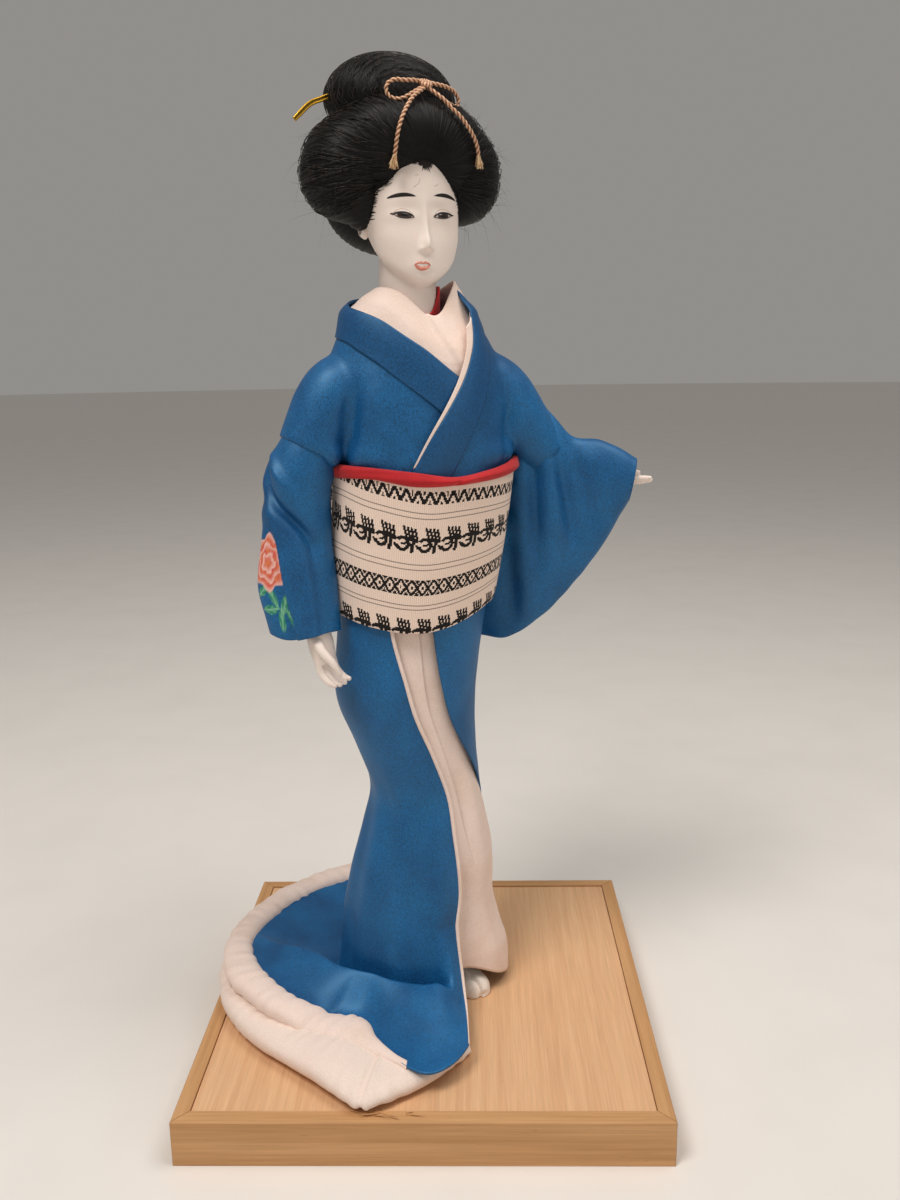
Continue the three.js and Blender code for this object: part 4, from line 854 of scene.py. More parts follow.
def peony(across, up):
    """A peony spray at a place in millimetres from its heart: three rings of scalloped petals, each paler
    towards its rim, and pointed leaves below them, each with a vein."""
    away, turn = np.hypot(across, up), np.arctan2(up, across)
    rims = [4.2 * (1 + 0.16 * np.cos(5 * turn + 0.6)), 7.8 * (1 + 0.13 * np.cos(6 * turn + 2)),
            11.6 * (1 + 0.1 * np.cos(8 * turn))]
    inner = np.where(away < rims[0], 0, np.where(away < rims[1], rims[0], rims[1]))
    outer = np.where(away < rims[0], rims[0], np.where(away < rims[1], rims[1], rims[2]))
    petal = smooth((away - inner) / (outer - inner), 0.3, 1.0)
    bloom = smooth(rims[2] - away, 0, 0.5)
    leaf, vein = np.zeros_like(away), np.zeros_like(away)
    for x, z, slope in PEONY_LEAVES:
        c, s = np.cos(np.radians(slope)), np.sin(np.radians(slope))
        p, q = c * (across - x) + s * (up - z), c * (up - z) - s * (across - x)
        inside = smooth(2.1 * (1 - (p / 5.8) ** 2) - np.abs(q), 0, 0.35)
        side_veins = 0.6 * bell(np.abs(q) - (0.5 * p) % 2.2, 0, 0.3)
        leaf = np.maximum(leaf, inside)
        vein = np.maximum(vein, inside * np.maximum(bell(q, 0, 0.35), side_veins))
    return bloom, petal, leaf, vein


RIGHT_SLEEVE = [
    (-43, -4, 263), (-47.3, -4, 253), (-52, -3.6, 241), (-54.2, -4, 221), (-55.2, -7, 199), (-53.4, -11, 180),
]
RIGHT_SLEEVE_HALVES = [[11.5, 11.5], [13.4, 13.4], [14.9, 13.6], [16.5, 12.6], [18.6, 11.6], [16.6, 10]]


def build_right_sleeve(look):
    """The hanging sleeve: ovals down the arm from inside the shoulder. Its front panel ends in a fold that
    steps in to the flowered rear panel, a swag and a slanting valley cross it, and its lower edge droops
    unevenly."""
    rows, columns = 160, 200
    grid = tube(RIGHT_SLEEVE, RIGHT_SLEEVE_HALVES, rows, columns, (0.1, 1, 0.1))
    v = np.linspace(0, 1, rows)[:, None]
    offset = grid - spline(RIGHT_SLEEVE, rows)[:, None]
    turn = np.degrees(np.arctan2(offset[..., 0], -offset[..., 1]))
    edge = PRINT_EDGE(v)[0]
    behind = smooth(edge - turn, 0, 3.0) * smooth(turn, -178, -150) * smooth(v, 0.44, 0.58)
    slant = bell(turn, mix(-80, 30, smooth(v, 0.36, 0.66)), 15)
    valley = slant * smooth(v, 0.26, 0.4) * (1 - smooth(v, 0.6, 0.82))
    swag = bell(turn, mix(-90, -10, smooth(v, 0.2, 0.5)), 18) * bell(v, 0.34, 0.09)
    pleat = bell(turn, 22, 12) * smooth(v, 0.55, 0.75)
    notch = bell(v, 0.46, 0.045) * bell(turn, -90, 45)
    amount = -3.0 * behind - 3.4 * valley + 2.0 * swag + 1.2 * pleat - 2.2 * notch
    panel = smooth(edge - turn, 0.5, 2) * (turn > -172)
    panel = panel * smooth(v, 0.42, 0.46) * (1 - smooth(v, 0.95, 0.98))
    spray = peony((turn - PEONY_BEARING) * SLEEVE_DEGREE, grid[..., 2] - PEONY_HEIGHT)
    marks = {key: part * panel for key, part in zip(PEONY_MARKS, spray)}
    grid = swell(grid, amount + 0.6 * ripple(grid, 24, 41) * smooth(v, 0.05, 0.3), around=True)
    rounded = 4.5 * bell(turn, -95, 34) + 1.2 * bell(turn, 60, 40) - 2.0
    grid[..., 2] += rounded * smooth(v, 0.75, 1) - 1.5 * smooth(v, 0.9, 1)
    cloth("sleeve_right_cloth", grid, look.flowered, ["sleeve_right"], "blue_satin", SATIN_THICK, "hung",
          ["kimono_bodice_cloth"], around=True, marks=marks)


LEFT_SLEEVE = stations([
    [0, 42, 3, 264, 166, 16, 0.6, 14], [0.16, 55, -4.6, 275, 166, 23, 0.45, 12],
    [0.32, 62, -7.2, 270, 175, 25, 0.42, 5], [0.5, 71, -9.6, 259, 189, 22, 0.45, 0],
    [0.75, 84, -14.5, 257, 207, 20, 0.55, 0.5], [1, 98.6, -20.2, 248.5, 229.5, 15, 0.9, 3.2],
])

# Folds of the left sleeve: start and end along the arm, width, depth and how far down they fade
LEFT_FOLDS = [
    (0.14, 0.36, 0.055, 3.8, 0.85), (0.27, 0.5, 0.06, -1.8, 0.8), (0.34, 0.64, 0.065, 2.6, 0.85),
    (0.5, 0.8, 0.06, 1.8, 0.95), (0.02, 0.2, 0.05, 2.4, 1.1), (0.1, 0.27, 0.05, -1.2, 1.0),
]


def build_left_sleeve(look):
    """The lifted sleeve: upright ovals that follow the arm from the back of the shoulder to the cuff, full
    at the top and thin at the hanging edge, with folds that fall from the armpit."""
    angle, t = field(160, 170, u=(0, TAU), closed=True)
    x, y, top, bottom, thick, full, lean = LEFT_SLEEVE(t)
    ahead, behind = LEFT_SLEEVE(np.minimum(1, t + 0.01)), LEFT_SLEEVE(np.maximum(0, t - 0.01))
    along = unit(np.stack([ahead[0] - behind[0], ahead[1] - behind[1], 0 * t], -1))
    across = np.stack([-along[..., 1], along[..., 0], 0 * t], -1)
    rise, swing = np.cos(angle), np.sin(angle)
    down = (1 - rise) / 2
    side = thick / 2 * mix(full, 1, (rise + 1) / 2) * signed(swing, 0.8)
    grid = np.stack([x, y, (top + bottom) / 2 + (top - bottom) / 2 * rise], -1)
    grid = grid + across * side[..., None] - along * (lean * down)[..., None]
    folds = 0.6 * ripple(grid, 26, 51) + 0.25 * ripple(grid, 10, 52)
    for start, end, width, deep, fade in LEFT_FOLDS:
        line = bell(t, mix(start, end, down), width)
        folds = folds - deep * line * smooth(down, 0.04, 0.35) * (1 - smooth(down, fade - 0.4, fade))
    grid = swell(grid, folds * smooth(1 - t, 0, 0.08), around=True)
    cloth("sleeve_left_cloth", grid, look.blue, ["sleeve_left"], "blue_satin", SATIN_THICK, "hung",
          ["kimono_bodice_cloth"], around=True, ends="a")


# Collars

COLLAR = stations([
    [0, 24, 280, 14, 262, 1], [0.06, 12, 288, 2, 272.5, 1], [0.12, -3.5, 297.2, -15, 282.8, 1],
    [0.18, -20, 304.5, -33, 291.6, 1], [0.25, -40, 310.5, -52, 297.6, 1], [0.32, -70, 314.5, -72, 301.4, 1],
    [0.4, -115, 318, -115, 303.5, 1], [0.5, -180, 320.5, -180, 305, 1], [0.6, -245, 322, -245, 306.5, 1],
    [0.68, -285, 323.5, -284, 309.5, 1.2], [0.74, -308, 318, -303, 303.5, 1.7],
    [0.8, -324.8, 303, -314, 294.5, 2.0], [0.86, -338, 290.5, -324.5, 283.5, 2.1],
    [0.93, -356.5, 271, -338, 265.5, 2.0], [1, -380, 246.5, -354.5, 244.5, 0.7],
])

# How far one layer of the crossed collar lifts the next
COLLAR_LAYER = 1.3


def neck_ring(angle, radius, z):
    """A circle round the neck at a height for each angle."""
    return np.stack([NECK_X + radius * np.sin(angle), NECK_Y - radius * np.cos(angle), z], -1)


def build_collars(look):
    """The inner collars: red and cream rings that lean from the neck over the neckline, the cream one
    lapped in front and finely tucked."""
    angle, v = field(30, 200, u=(0, TAU), closed=True)
    turn = np.degrees(wrap(angle))
    dip = bell(wrap(angle - np.radians(24)), 0, np.radians(34))
    far = bell(turn, 82, 36)
    inner = NECK_RADIUS + 0.6
    red = neck_ring(angle, inner + 0.7, mix(303 - 6 * dip, 319.5 - 8.5 * dip + 4 * far, v))
    cloth("collar_red_cloth", red, look.red, ["collar_red"], "red_silk", SATIN_THICK, "folded",
          ["torso_core_wound"], around=True)
    rim = body(angle, neckline(angle) + 0.6 - 4 * far, 1.0 - 2.5 * far)
    foot = body(angle, neckline(angle) - 5 - 4 * far, 0.3 - 2.5 * far)
    behind = bell(turn, -62, 48)
    high = neck_ring(angle, inner + 2.0 + 1.6 * dip + 0.8 * behind + 5.0 * far,
                     319 - 9.5 * dip + 3.4 * behind + 7 * far)
    up = np.clip(1.5 * v - 0.5, 0, 1)
    low_part = foot + (rim - foot) * np.clip(v * 3, 0, 1)[..., None]
    white = np.where((v < 1 / 3)[..., None], low_part, rim + (high - rim) * up[..., None])
    lap = smooth(turn - mix(22, 12, v), -1.2, 1.2) * smooth(-turn, -54, -38)
    tucks = 0.25 * np.sin(TAU * (2.2 * v + turn / 160)) * np.sin(np.pi * v)
    white = swell(white, lap + tucks + 0.6 * np.sin(np.pi * up), around=True)
    cloth("collar_white_cloth", white, look.cream, ["collar_white"], "cream_cloth", SATIN_THICK, "folded",
          ["kimono_bodice_cloth"], around=True)


def build_collar_band(look):
    """The blue band that goes round the neck and crosses left over right, a strip between an inner and an
    outer line, and a tongue of the cream collar that narrows down its edge."""
    u, v = field(24, 300)
    a0, z0, a1, z1, layer = COLLAR(u)
    z = mix(z0, z1, v)
    lift = mix(2.5, 1.0, smooth(v, 0.1, 1)) + COLLAR_LAYER * (layer - 1) + 0.35 * np.sin(np.pi * v)
    band = body(np.radians(mix(a0, a1, v)), z, lift - 9 * smooth(z, 312, 326))
    band = band + np.stack([0 * u, 0 * u, 0.3 * ripple(band, 18, 61)], -1)
    # The band's darker satin is painted shade.
    cloth("collar_kimono_cloth", band, look.collar, ["collar_kimono"], "blue_satin", SATIN_THICK, "folded",
          ["kimono_bodice_cloth"], inside=(0, 0, 285))
    t = np.linspace(0, 1, 90)[:, None]
    a0, z0, _, _, layer = COLLAR(mix(0.775, 0.99, t))
    across = np.linspace(-1, 0.7, 18)[None]
    reach = mix(11, 1.6, t ** 0.6)
    lift = 2.5 + COLLAR_LAYER * (layer - 1) - 1.8 * (across + 0.2).clip(0)
    strip = body(np.radians(a0 + reach * across), z0 + 0.35 * reach * across, lift)
    cloth("collar_white_tongue", strip, look.cream, (), "cream_cloth", CREPE_THICK, "folded",
          ["kimono_bodice_cloth"], inside=(0, 0, 270))


# Sash

SASH_ROW = stations([
    [-180, 6, 6], [-110, 7.5, 9.5], [-74, 6.5, 9.5], [-43, 3, 4.75], [-8, 0, 0], [13.5, 1.6, 0.6],
    [36.5, 5.6, 1.4], [51, 8, 1.8], [75, 9, 2.6], [110, 8, 4], [180, 6, 6],
])
SCARF_ROW = stations([
    [-180, 244, 250.5], [-110, 244.5, 250.8], [-78, 244.8, 250.8], [-43, 245, 250], [-17, 242, 248],
    [7, 242, 245.6], [31, 243, 247.4], [73, 245, 251], [110, 245, 251], [180, 244, 250.5],
])
SCROLL_PITCH = 9.3


def stroke(u, v, x0, y0, x1, y1, half):
    """Whether a thread cell lies within half a width of a straight stroke."""
    t = np.clip(((u - x0) * (x1 - x0) + (v - y0) * (y1 - y0)) / ((x1 - x0) ** 2 + (y1 - y0) ** 2), 0, 1)
    return np.hypot(u - mix(x0, x1, t), v - mix(y0, y1, t)) < half


def scrolls(u, v):
    """A row of scrolls: an open ring with a bar in it, four slanting ticks on a bar and a stem."""
    s = u % SCROLL_PITCH
    turn = np.degrees(np.arctan2(v - 3.4, s - 2.8))
    away = np.hypot(s - 2.8, v - 3.4)
    ring = (np.abs(away - 2.45) < 0.75) & (turn < 150) & (turn > -165)
    bar = stroke(s, v, 2.6, 3.3, 4.6, 3.8, 0.5)
    foot = stroke(s, v, 0.0, 2.2, 1.2, 1.4, 0.6) | stroke(s, v, 8.9, 3.0, SCROLL_PITCH, 2.2, 0.6)
    comb_base = stroke(s, v, 4.4, 5.8, 8.9, 5.2, 0.8)
    ticks = np.zeros_like(ring)
    for k in range(4):
        ticks |= stroke(s, v, 2.9 + 1.6 * k, 10.4 - 0.25 * k, 4.4 + 1.4 * k, 6.0, 0.56)
    stem = stroke(s, v, 7.4, 5.2, 6.7, 0.4, 0.8)
    return ring | bar | foot | comb_base | ticks | stem


def woven(u, v):
    """The sash's black weft at a place in millimetres along and up the cloth: a zigzag row, scrolls,
    diamonds and pairs of fine lines, each drawn whole thread cell by whole thread cell."""
    s, t = (u % 4.8) / 4.8, (v - 55.6) / 5.4
    a = np.abs(s - 0.5) * 2
    zigzag = (np.abs(a - t) < 0.3) | (a > 0.72 + 0.9 * t) | (a < 0.45 * (t - 0.5))
    ink = (t > 0) & (t < 1) & zigzag
    s, t = (u % 4.7) / 4.7, (v - 16.8) / 6.6
    a, b = np.abs(s - 0.5) * 2, np.abs(t - 0.5) * 2
    lattice = (np.abs(a + b - 1) < 0.3) | ((a < 0.18) & (b < 0.18)) | (a + b > 1.5)
    ink |= (b < 1) & lattice
    ink |= (v > 34.8) & (v < 46.8) & scrolls(u, v - 35.0)
    ink |= (v < 7.4) & scrolls(u, v + 4.0)
    lines = np.zeros_like(ink)
    for line in (51.6, 49.6, 30.2, 27.8, 12.6, 10.4):
        lines |= np.abs(v - line) < 0.24
    return np.where(ink, 1.0, np.where(lines, 0.65, 0.0))


def build_sash_band(look):
    """The wide sash: the body's ovals a little outside the bodice, lowest in front, eased in under the
    scarf and closed over its edges, one quad to a thread cell."""
    columns, rows = 470, 146
    angle, v = field(rows, columns, u=(-np.pi, np.pi), closed=True)
    degrees = np.degrees(angle)
    low, line = SASH_ROW(degrees)
    z = mix(OBI_BOTTOM, OBI_TOP, v) + mix(low, line, np.clip(v / 0.785, 0, 1.3))
    top = SCARF_ROW(degrees)[0] + 2.6
    z = top - 0.9 * np.log1p(np.exp((top - z) / 0.9)) + 0.02 * v
    grid = body(angle, z, OBI_SEAT + OBI_CLOTH - 0.5 * (np.abs(2 * v - 1) ** 24))
    pinch = bell(degrees, -52, 10) * bell(z, 226, 6) - bell(degrees, -46, 9) * bell(z, 218, 5)
    grid = swell(grid, 0.25 * ripple(grid, 30, 71) + 0.5 * pinch, around=True)
    edges = [body(angle[:1], z[k:k + 1], OBI_SEAT) for k in (0, rows - 1)]
    grid = np.concatenate([edges[0], grid, edges[1]])
    uv = lengths(grid, True, True) / MM
    u_mid = (uv[0, :-1, 0] + uv[0, 1:, 0]) / 2
    v_mid = np.concatenate([[-1], np.linspace(0, OBI_TOP - OBI_BOTTOM, rows)[:-1] + 0.22, [70, 75]])
    ink = woven(*np.meshgrid(u_mid, v_mid))
    made = skin("obi_band_cloth", grid, around=True, along=True, uv=uv, cells={"ink": ink})
    settle(made, look.brocade, "doll", ["obi_band"])


def build_scarf(look):
    """The red scarf above the sash: at each angle most of an oval, from inside the sash over the top and
    down in front, with folds along it and a tucked knot."""
    angle, v = field(36, 340, u=(-np.pi, np.pi), closed=True)
    degrees = np.degrees(angle)
    low, high = SCARF_ROW(degrees)
    turn = np.radians(mix(205, -75, v))
    away = degrees - mix(16, 6, v)
    tuck = -0.9 * bell(away, 0, 1.6) + 0.7 * bell(away, 6, 4) + 0.4 * bell(away, -6, 4)
    pleat = 0.28 * np.sin(TAU * (2.6 * v + 0.5 * np.sin(1.5 * angle + 1)))
    half = 2.3 - 0.9 * bell(wrap(angle - np.pi), 0, 0.9) + 0.5 * bell(degrees, 10, 20)
    out = OBI_SEAT + 2.0 + (half + (tuck + pleat) * smooth(v, 0.3, 0.6)) * np.cos(turn)
    grid = body(angle, (low + high) / 2 + (high - low) / 2 * np.sin(turn), out)
    cloth("obi_age_cloth", grid, look.red, ["obi_age"], "red_silk", 0.6, "gathered", ["obi_band_cloth"],
          around=True, inside=(2, -2, 246))


def rounded_loop(y0, y1, z0, z1, r, count):
    """Evenly spaced points round a rectangle: straight sides joined by quarter circles."""
    quarter = np.linspace(0, np.pi / 2, 16)
    arcs = []
    for k, (y, z) in enumerate([(y1 - r, z1 - r), (y0 + r, z1 - r), (y0 + r, z0 + r), (y1 - r, z0 + r)]):
        turn = quarter + k * np.pi / 2
        arcs.append(np.column_stack([y + r * np.cos(turn), z + r * np.sin(turn)]))
    line = np.vstack([*arcs, arcs[0][:1]])
    way = travel(line)
    place = np.linspace(0, way[-1], count, endpoint=False)
    return np.column_stack([np.interp(place, way, line[:, k]) for k in (0, 1)]), place


def build_sash_knot(look):
    """The drum knot behind: loops of sash cloth carried across its width, with the folded end through it
    and the tail below, all woven as the sash, and the pillow in it."""
    back = float(body(np.array(np.pi), np.array(213.0), OBI_SEAT + OBI_CLOTH + FIT)[1]) + 0.4
    middle = 1
    shapes = {
        "obi_drum": (back, back + 20, 186, 253, 9, 60, 300, 1.6),
        "obi_hand": (back + 2.8, back + 8.4, 195.2, 224.6, 1.4, 76, 150, 0),
        "obi_tail": (back + 6, back + 8.2, 166, 185.5, 0.9, 54, 90, 0),
    }
    for name, (y0, y1, z0, z1, r, width, count, thick) in shapes.items():
        loop, way = rounded_loop(y0, y1, z0, z1, r, count)
        x = np.linspace(middle - width / 2, middle + width / 2, int(width / 0.5))
        grid = np.stack(np.broadcast_arrays(x[:, None], loop[None, :, 0], loop[None, :, 1]), -1)
        rim = (0.48 if thick else 0.12) * bell(np.abs(x - middle), width / 2, 5)[:, None]
        grid = swell(grid, 0.5 * ripple(grid, 30, 81) - rim, around=True)
        ink = woven(*np.meshgrid(way + 0.2, x[:-1] - x[0] + 3))
        cloth(f"{name}_cloth", grid, look.brocade, [name], "sash_brocade", thick, "folded",
              ["obi_band_cloth"], around=True, layers=1 if thick else 2, ends="" if thick else "az",
              cells={"ink": ink}, inside=(middle, (y0 + y1) / 2, (z0 + z1) / 2))
    room = 7.3
    line = [(middle + 25 * s, back + 10, 250.3 - room) for s in (-1, -0.5, 0, 0.5, 1)]
    pillow = tube(line, [[share * room] for share in (0.45, 0.95, 1, 0.95, 0.45)], 50, 32, (0, 1, 0))
    pillow = swell(pillow, 0.3 * ripple(pillow, 9, 91), around=True)
    pad("obi_pillow_pad", pillow, look.cotton, "doll", ["obi_pillow"], "white_cotton", 0.8)


# Stuffing and stand

LEGS = {
    "left": [(7.4, -0.6, 26), (12, -1, 80), (11.5, 0, 118), (11.5, 0, 128)],
    "right": [(-9, -4, 26), (-6.5, -2, 80), (-12.5, 0, 118), (-12.5, 0, 128)],
}


def build_stuffing(look):
    """Inner body: the core, arms and legs as rounded forms wound with slanting turns of tape."""
    def wound(name, grid, pitch):
        phase = travel(grid.mean(1))[:, None] / pitch + np.linspace(0, 1, grid.shape[1])[None]
        turns = np.abs((phase % 1) - 0.5) * 2
        grid = swell(grid, 0.25 * smooth(turns, 0.1, 0.4) - 0.3 + 0.2 * ripple(grid, 5, 101), around=True)
        pad(f"{name}_wound", grid, look.straw, "doll", [name], "wound_stuffing", 0.9,
            marks={"groove": 1 - smooth(turns, 0.05, 0.3)})

    angle, v = field(120, 60, u=(0, TAU), closed=True)
    z = mix(129.5, 286, v)
    depth = mix(7.2, 3.6, smooth(z, 188, 198)) + 12 * smooth(z, 280, 287)
    wound("torso_core", body(angle, z, -depth), 9)
    for side, leg in LEGS.items():
        wound(f"leg_wrap_{side}", tube(leg, [[5.2], [7.6], [7.8], [8.2], [10]], 90, 24, (0, 1, 0)), 8)
        wound(f"arm_wrap_{side}", tube(ARMS[side][1:], [[8.4], [5], [4.4], [3.8]], 90, 24), 6)
        for kind in ("arm", "leg"):
            dress(f"{kind}_wire_{side}", look.wire)


def build_stand(look):
    """The stand's own wood, and a few slivers of torn wood at the front edge."""
    dress("base_deck", look.plywood)
    for side in ("front", "back"):
        dress(f"base_rail_{side}", look.rail_x)
    for side in ("left", "right"):
        dress(f"base_rail_{side}", look.rail_y)
    draw = np.random.default_rng(5)
    count, rail_top = 9, 20.05
    x, y = draw.uniform(-26, -2, count), draw.uniform(-97.5, -94.5, count)
    start = np.column_stack([x, y, np.full(count, rail_top)])
    aside = draw.uniform(0.6, 1, count) * draw.choice([-1, 1], count)
    way = unit(np.column_stack([aside, draw.uniform(-0.5, 0.3, count), draw.uniform(0.02, 0.22, count)]))
    t = np.linspace(0, 1, 7)[None]
    long = draw.uniform(3, 9, count)[:, None, None]
    paths = start[:, None] + way[:, None] * t[..., None] * long
    thin = 0.28 * (1 - t ** 2) + 0.03
    strands_of("base_splinters", paths, thin, 5, look.rail_x, "doll", STAND)


# Head

HEAD_ROW = stations([
    [0, -NECK_RADIUS, 270, NECK_RADIUS, 270, NECK_RADIUS, 0],
    [0.08, -NECK_RADIUS, 308, NECK_RADIUS, 320, NECK_RADIUS, 0], [0.13, -12.2, 320, 13, 336.5, 11.6, 0.2],
    [0.17, -14.2, 322.2, 15, 342, 11.2, 0.5], [0.21, -16.6, 323.4, 16.5, 344.5, 12.6, 0.9],
    [0.26, -18.6, 325.2, 17.5, 346.5, 14.7, 1.2], [0.32, -19.4, 327.4, 18.5, 348.5, 16, 1.3],
    [0.4, -19.7, 331.6, 19.5, 350.5, 17, 1.1], [0.5, -19.9, 338.4, 21, 353, 18.2, 0.7],
    [0.6, -19.6, 347, 22.5, 357, 19.4, 0.2], [0.7, -20.2, 356, 23, 362.5, 19.9, 0],
    [0.8, -19.6, 365, 21.5, 369, 19, 0], [0.9, -16.5, 374, 17.5, 376, 15.5, 0],
    [0.97, -9, 381, 10, 381.5, 9, 0], [1, -3, 383, 3, 383, 3, 0],
])
FACE_MIDDLE = stations([[318, -2.2], [330, -1.4], [338, -0.7], [349, -0.8], [356, -1.2], [370, 0.2]])
NOSE = stations([
    [332, 0], [335.0, 0.5], [336.4, 2.7], [337.8, 3.3], [342.5, 2.0], [348, 1.0], [353, 0.35], [358, 0],
])
NOSE_WIDTH = stations([[333, 2.2], [338, 2.1], [342, 1.5], [348, 1.4], [358, 2.4]])
EYES = {"right": (-9.3, 349.0, -1, 3.7), "left": (7.8, 349.4, 1, 4.5)}


def face_relief(x, z):
    """How far the face stands out from the plain head: bells for the nose, lids, cheeks, lips and chin,
    less shallow bells for the eye sockets and the hollow under the lip."""
    x = x - FACE_MIDDLE(z)[0]
    side = np.abs(x)
    nose = NOSE(z)[0] * bell(x, 0, NOSE_WIDTH(z)[0]) + 0.7 * bell(side, 2.3, 0.9) * bell(z, 336.2, 1.2)
    sockets = -0.7 * bell(side, 7.6, 4.5) * bell(z, 351.6, 2.6)
    lids = 0.7 * bell(side, 9, 5) * bell(z, 349, 2.3)
    mouth = 0.8 * bell(x, -0.8, 5.0) * bell(z, 330.4, 3.6)
    hollow = -0.5 * bell(x, 0, 4.5) * bell(z, 327.0, 1.5) - 0.3 * bell(x, 0, 0.9) * bell(z, 333.4, 1.4)
    chin = 0.5 * bell(x, 1.5, 5) * bell(z, 324.6, 2.6)
    return nose + sockets + lids + mouth + hollow + chin


def head_point(share, angle):
    """The head: ovals that lean from the chin up to the crown, rounded out at the cheeks and shifted a
    little to the doll's left at the chin, with the face's relief on their front."""
    front_y, front_z, back_y, back_z, wide, shift = HEAD_ROW(share)
    back = (1 - np.cos(angle)) / 2
    x, y, z = shift + wide * np.sin(angle), mix(front_y, back_y, back), mix(front_z, back_z, back)
    cheek = 2.3 * bell(np.abs(wrap(angle)), 1.05, 0.5) * (smooth(z, 323, 342) - smooth(z, 352, 368))
    relief = face_relief(x, z) * smooth(np.cos(angle), 0.05, 0.6) * smooth(share, 0.14, 0.24)
    return np.stack([x + cheek * np.sin(angle), y - cheek * np.cos(angle) - relief, z], -1)


def face_point(x, z, out=0.05):
    """The place on the face in front of x and z: the share of the head's height and the angle round it are
    bettered together in turn, then the place is moved forwards."""
    x, z = np.broadcast_arrays(np.asarray(x, float), np.asarray(z, float))
    angle = np.arcsin(np.clip(x / 20, -0.95, 0.95))
    share = np.full(np.shape(z), 0.5)
    for _ in range(40):
        found = head_point(share, angle)
        slope = (head_point(share + 1e-4, angle)[..., 2] - found[..., 2]) / 1e-4
        share = np.clip(share + 0.8 * (z - found[..., 2]) / np.maximum(slope, 20), 0.15, 0.96)
        turn = (head_point(share, angle + 1e-4)[..., 0] - head_point(share, angle)[..., 0]) / 1e-4
        angle = np.clip(angle + 0.8 * (x - head_point(share, angle)[..., 0]) / np.maximum(turn, 3), -1.5, 1.5)
    way = np.stack([np.sin(angle), -np.cos(angle), 0 * z], -1)
    return head_point(share, angle) + way * np.asarray(out)[..., None]


def brush(lines, widths, across=5, out=0.05):
    """Brush strokes on the face: strips on both sides of lines of x and z, as wide as given at each point."""
    way = unit(np.gradient(lines, axis=-2))
    side = np.stack([-way[..., 1], way[..., 0]], -1)
    s = np.linspace(-1, 1, across)
    flat = lines[..., None, :] + side[..., None, :] * (widths[..., None] * s)[..., None]
    return face_point(flat[..., 0], flat[..., 1], out)


def build_head(look):
    """The head's skin, the two ears as flattened ovals with a hollowed shell, and the painted features."""
    t = np.linspace(-1, 1, 281)[:-1]
    angle = np.pi * (0.42 * t + 0.58 * t ** 3)
    share = np.concatenate([np.linspace(0, 0.12, 14)[:-1], np.linspace(0.12, 0.95, 250),
                            np.linspace(0.95, 1, 10)[1:]])
    grid = head_point(*np.broadcast_arrays(share[:, None], angle[None]))
    made = skin("head_painted", grid, HEAD, around=True, ends="az")
    settle(made, look.skin, "head", ["head"])
    lon, lat = field(40, 48, v=(0, np.pi), u=(0, TAU), closed=True)
    ball = np.stack([np.sin(lat) * np.cos(lon), np.sin(lat) * np.sin(lon), np.cos(lat)], -1)
    for name, side in (("right", -1), ("left", 1)):
        ear = ball * np.array([1.9, 3.2, 4.8])
        ear[..., 1] *= 1 + 0.12 * np.cos(lat)
        flat = np.hypot(ear[..., 1] / 3.2, (ear[..., 2] - 0.5) / 4.4)
        ear[..., 0] += (0.8 * bell(flat, 0.85, 0.2) - 0.8 * bell(flat, 0.45, 0.25)) * (ear[..., 0] > -0.5)
        ear[..., 1] += 0.25 * ear[..., 2]
        ear = ear * np.array([side, 1, 1]) + np.array([18.2 * side, 2.4, 346.2])
        settle(skin(f"ear_{name}", ear, HEAD, around=True), look.skin, "head", ())
    for name, (x0, z0, out, long) in EYES.items():
        build_eye(look, name, x0, z0, out, long)
    build_mouth(look)
    build_brows(look)


def eye_lid(s, x0, z0, out, long, upper):
    """One lid's line: an arch between the corners, higher at the outer one."""
    if upper:
        arch = 1.25 * (1 - s ** 2) ** 0.7 * (1 - 0.2 * s)
    else:
        arch = -1.0 * (1 - s ** 2) ** 0.8 * (1 + 0.25 * s)
    return np.stack([x0 + long * out * s, z0 + arch + 0.6 * s - 0.1], -1)


def build_eye(look, name, x0, z0, out, long):
    """An eye: an almond between the two lids' lines, bulging a little, with a dark lash line above and a fine
    one below, and over it a faint brown line of painted shade in the lid's crease."""
    s, t = np.linspace(-1, 1, 61)[:, None], np.linspace(0, 1, 15)[None]
    high, low = (eye_lid(s, x0, z0, out, long, up) for up in (True, False))
    flat = low + (high - low) * t[..., None]
    bulge = 0.3 * (1 - s ** 2) * np.sin(np.pi * t)
    grid = face_point(flat[..., 0], flat[..., 1], 0.06 + bulge)
    uv = np.stack([flat[..., 0] - x0 + 0.2 * out, (flat[..., 1] - z0 - 0.1) * 1.05], -1)
    inside = (x0, 0, z0)
    made = skin(f"eye_{name}_glass", grid, HEAD, uv=uv, inside=inside)
    settle(made, look.eye, "head", [f"eye_{name}"], 0.3)
    s = np.linspace(-1.08, 1.3, 50)
    c = np.clip(s, -1, 1)
    beyond = np.stack([long * out * (s - c), 0.7 * (s - c)], -1)
    lash, low_line = (eye_lid(c, x0, z0, out, long, up) + beyond for up in (True, False))
    thick = 0.36 * np.sqrt(np.clip(1 - (np.abs(s - 0.1) / 1.28) ** 2, 0, 1)) + 0.04
    fine = 0.09 * np.sqrt(np.clip(1 - (s / 1.3) ** 2, 0, 1)) + 0.02
    crease = lash + np.stack([0 * s, 1.35 - 0.7 * s * s], -1)
    faint = 0.07 * np.sqrt(np.clip(1 - s * s / 1.7, 0, 1)) + 0.02
    both = np.stack([brush(lash, thick, out=0.2), brush(low_line, fine, out=0.14)])
    painted(f"eye_{name}_lashes", both, look.ink, 0.08, inside, "eye_gloss")
    # Painted shade: a faint brown line in the lid's crease.
    painted(f"eye_{name}_crease", brush(crease, faint), look.shade, FAINT_THICK, inside)


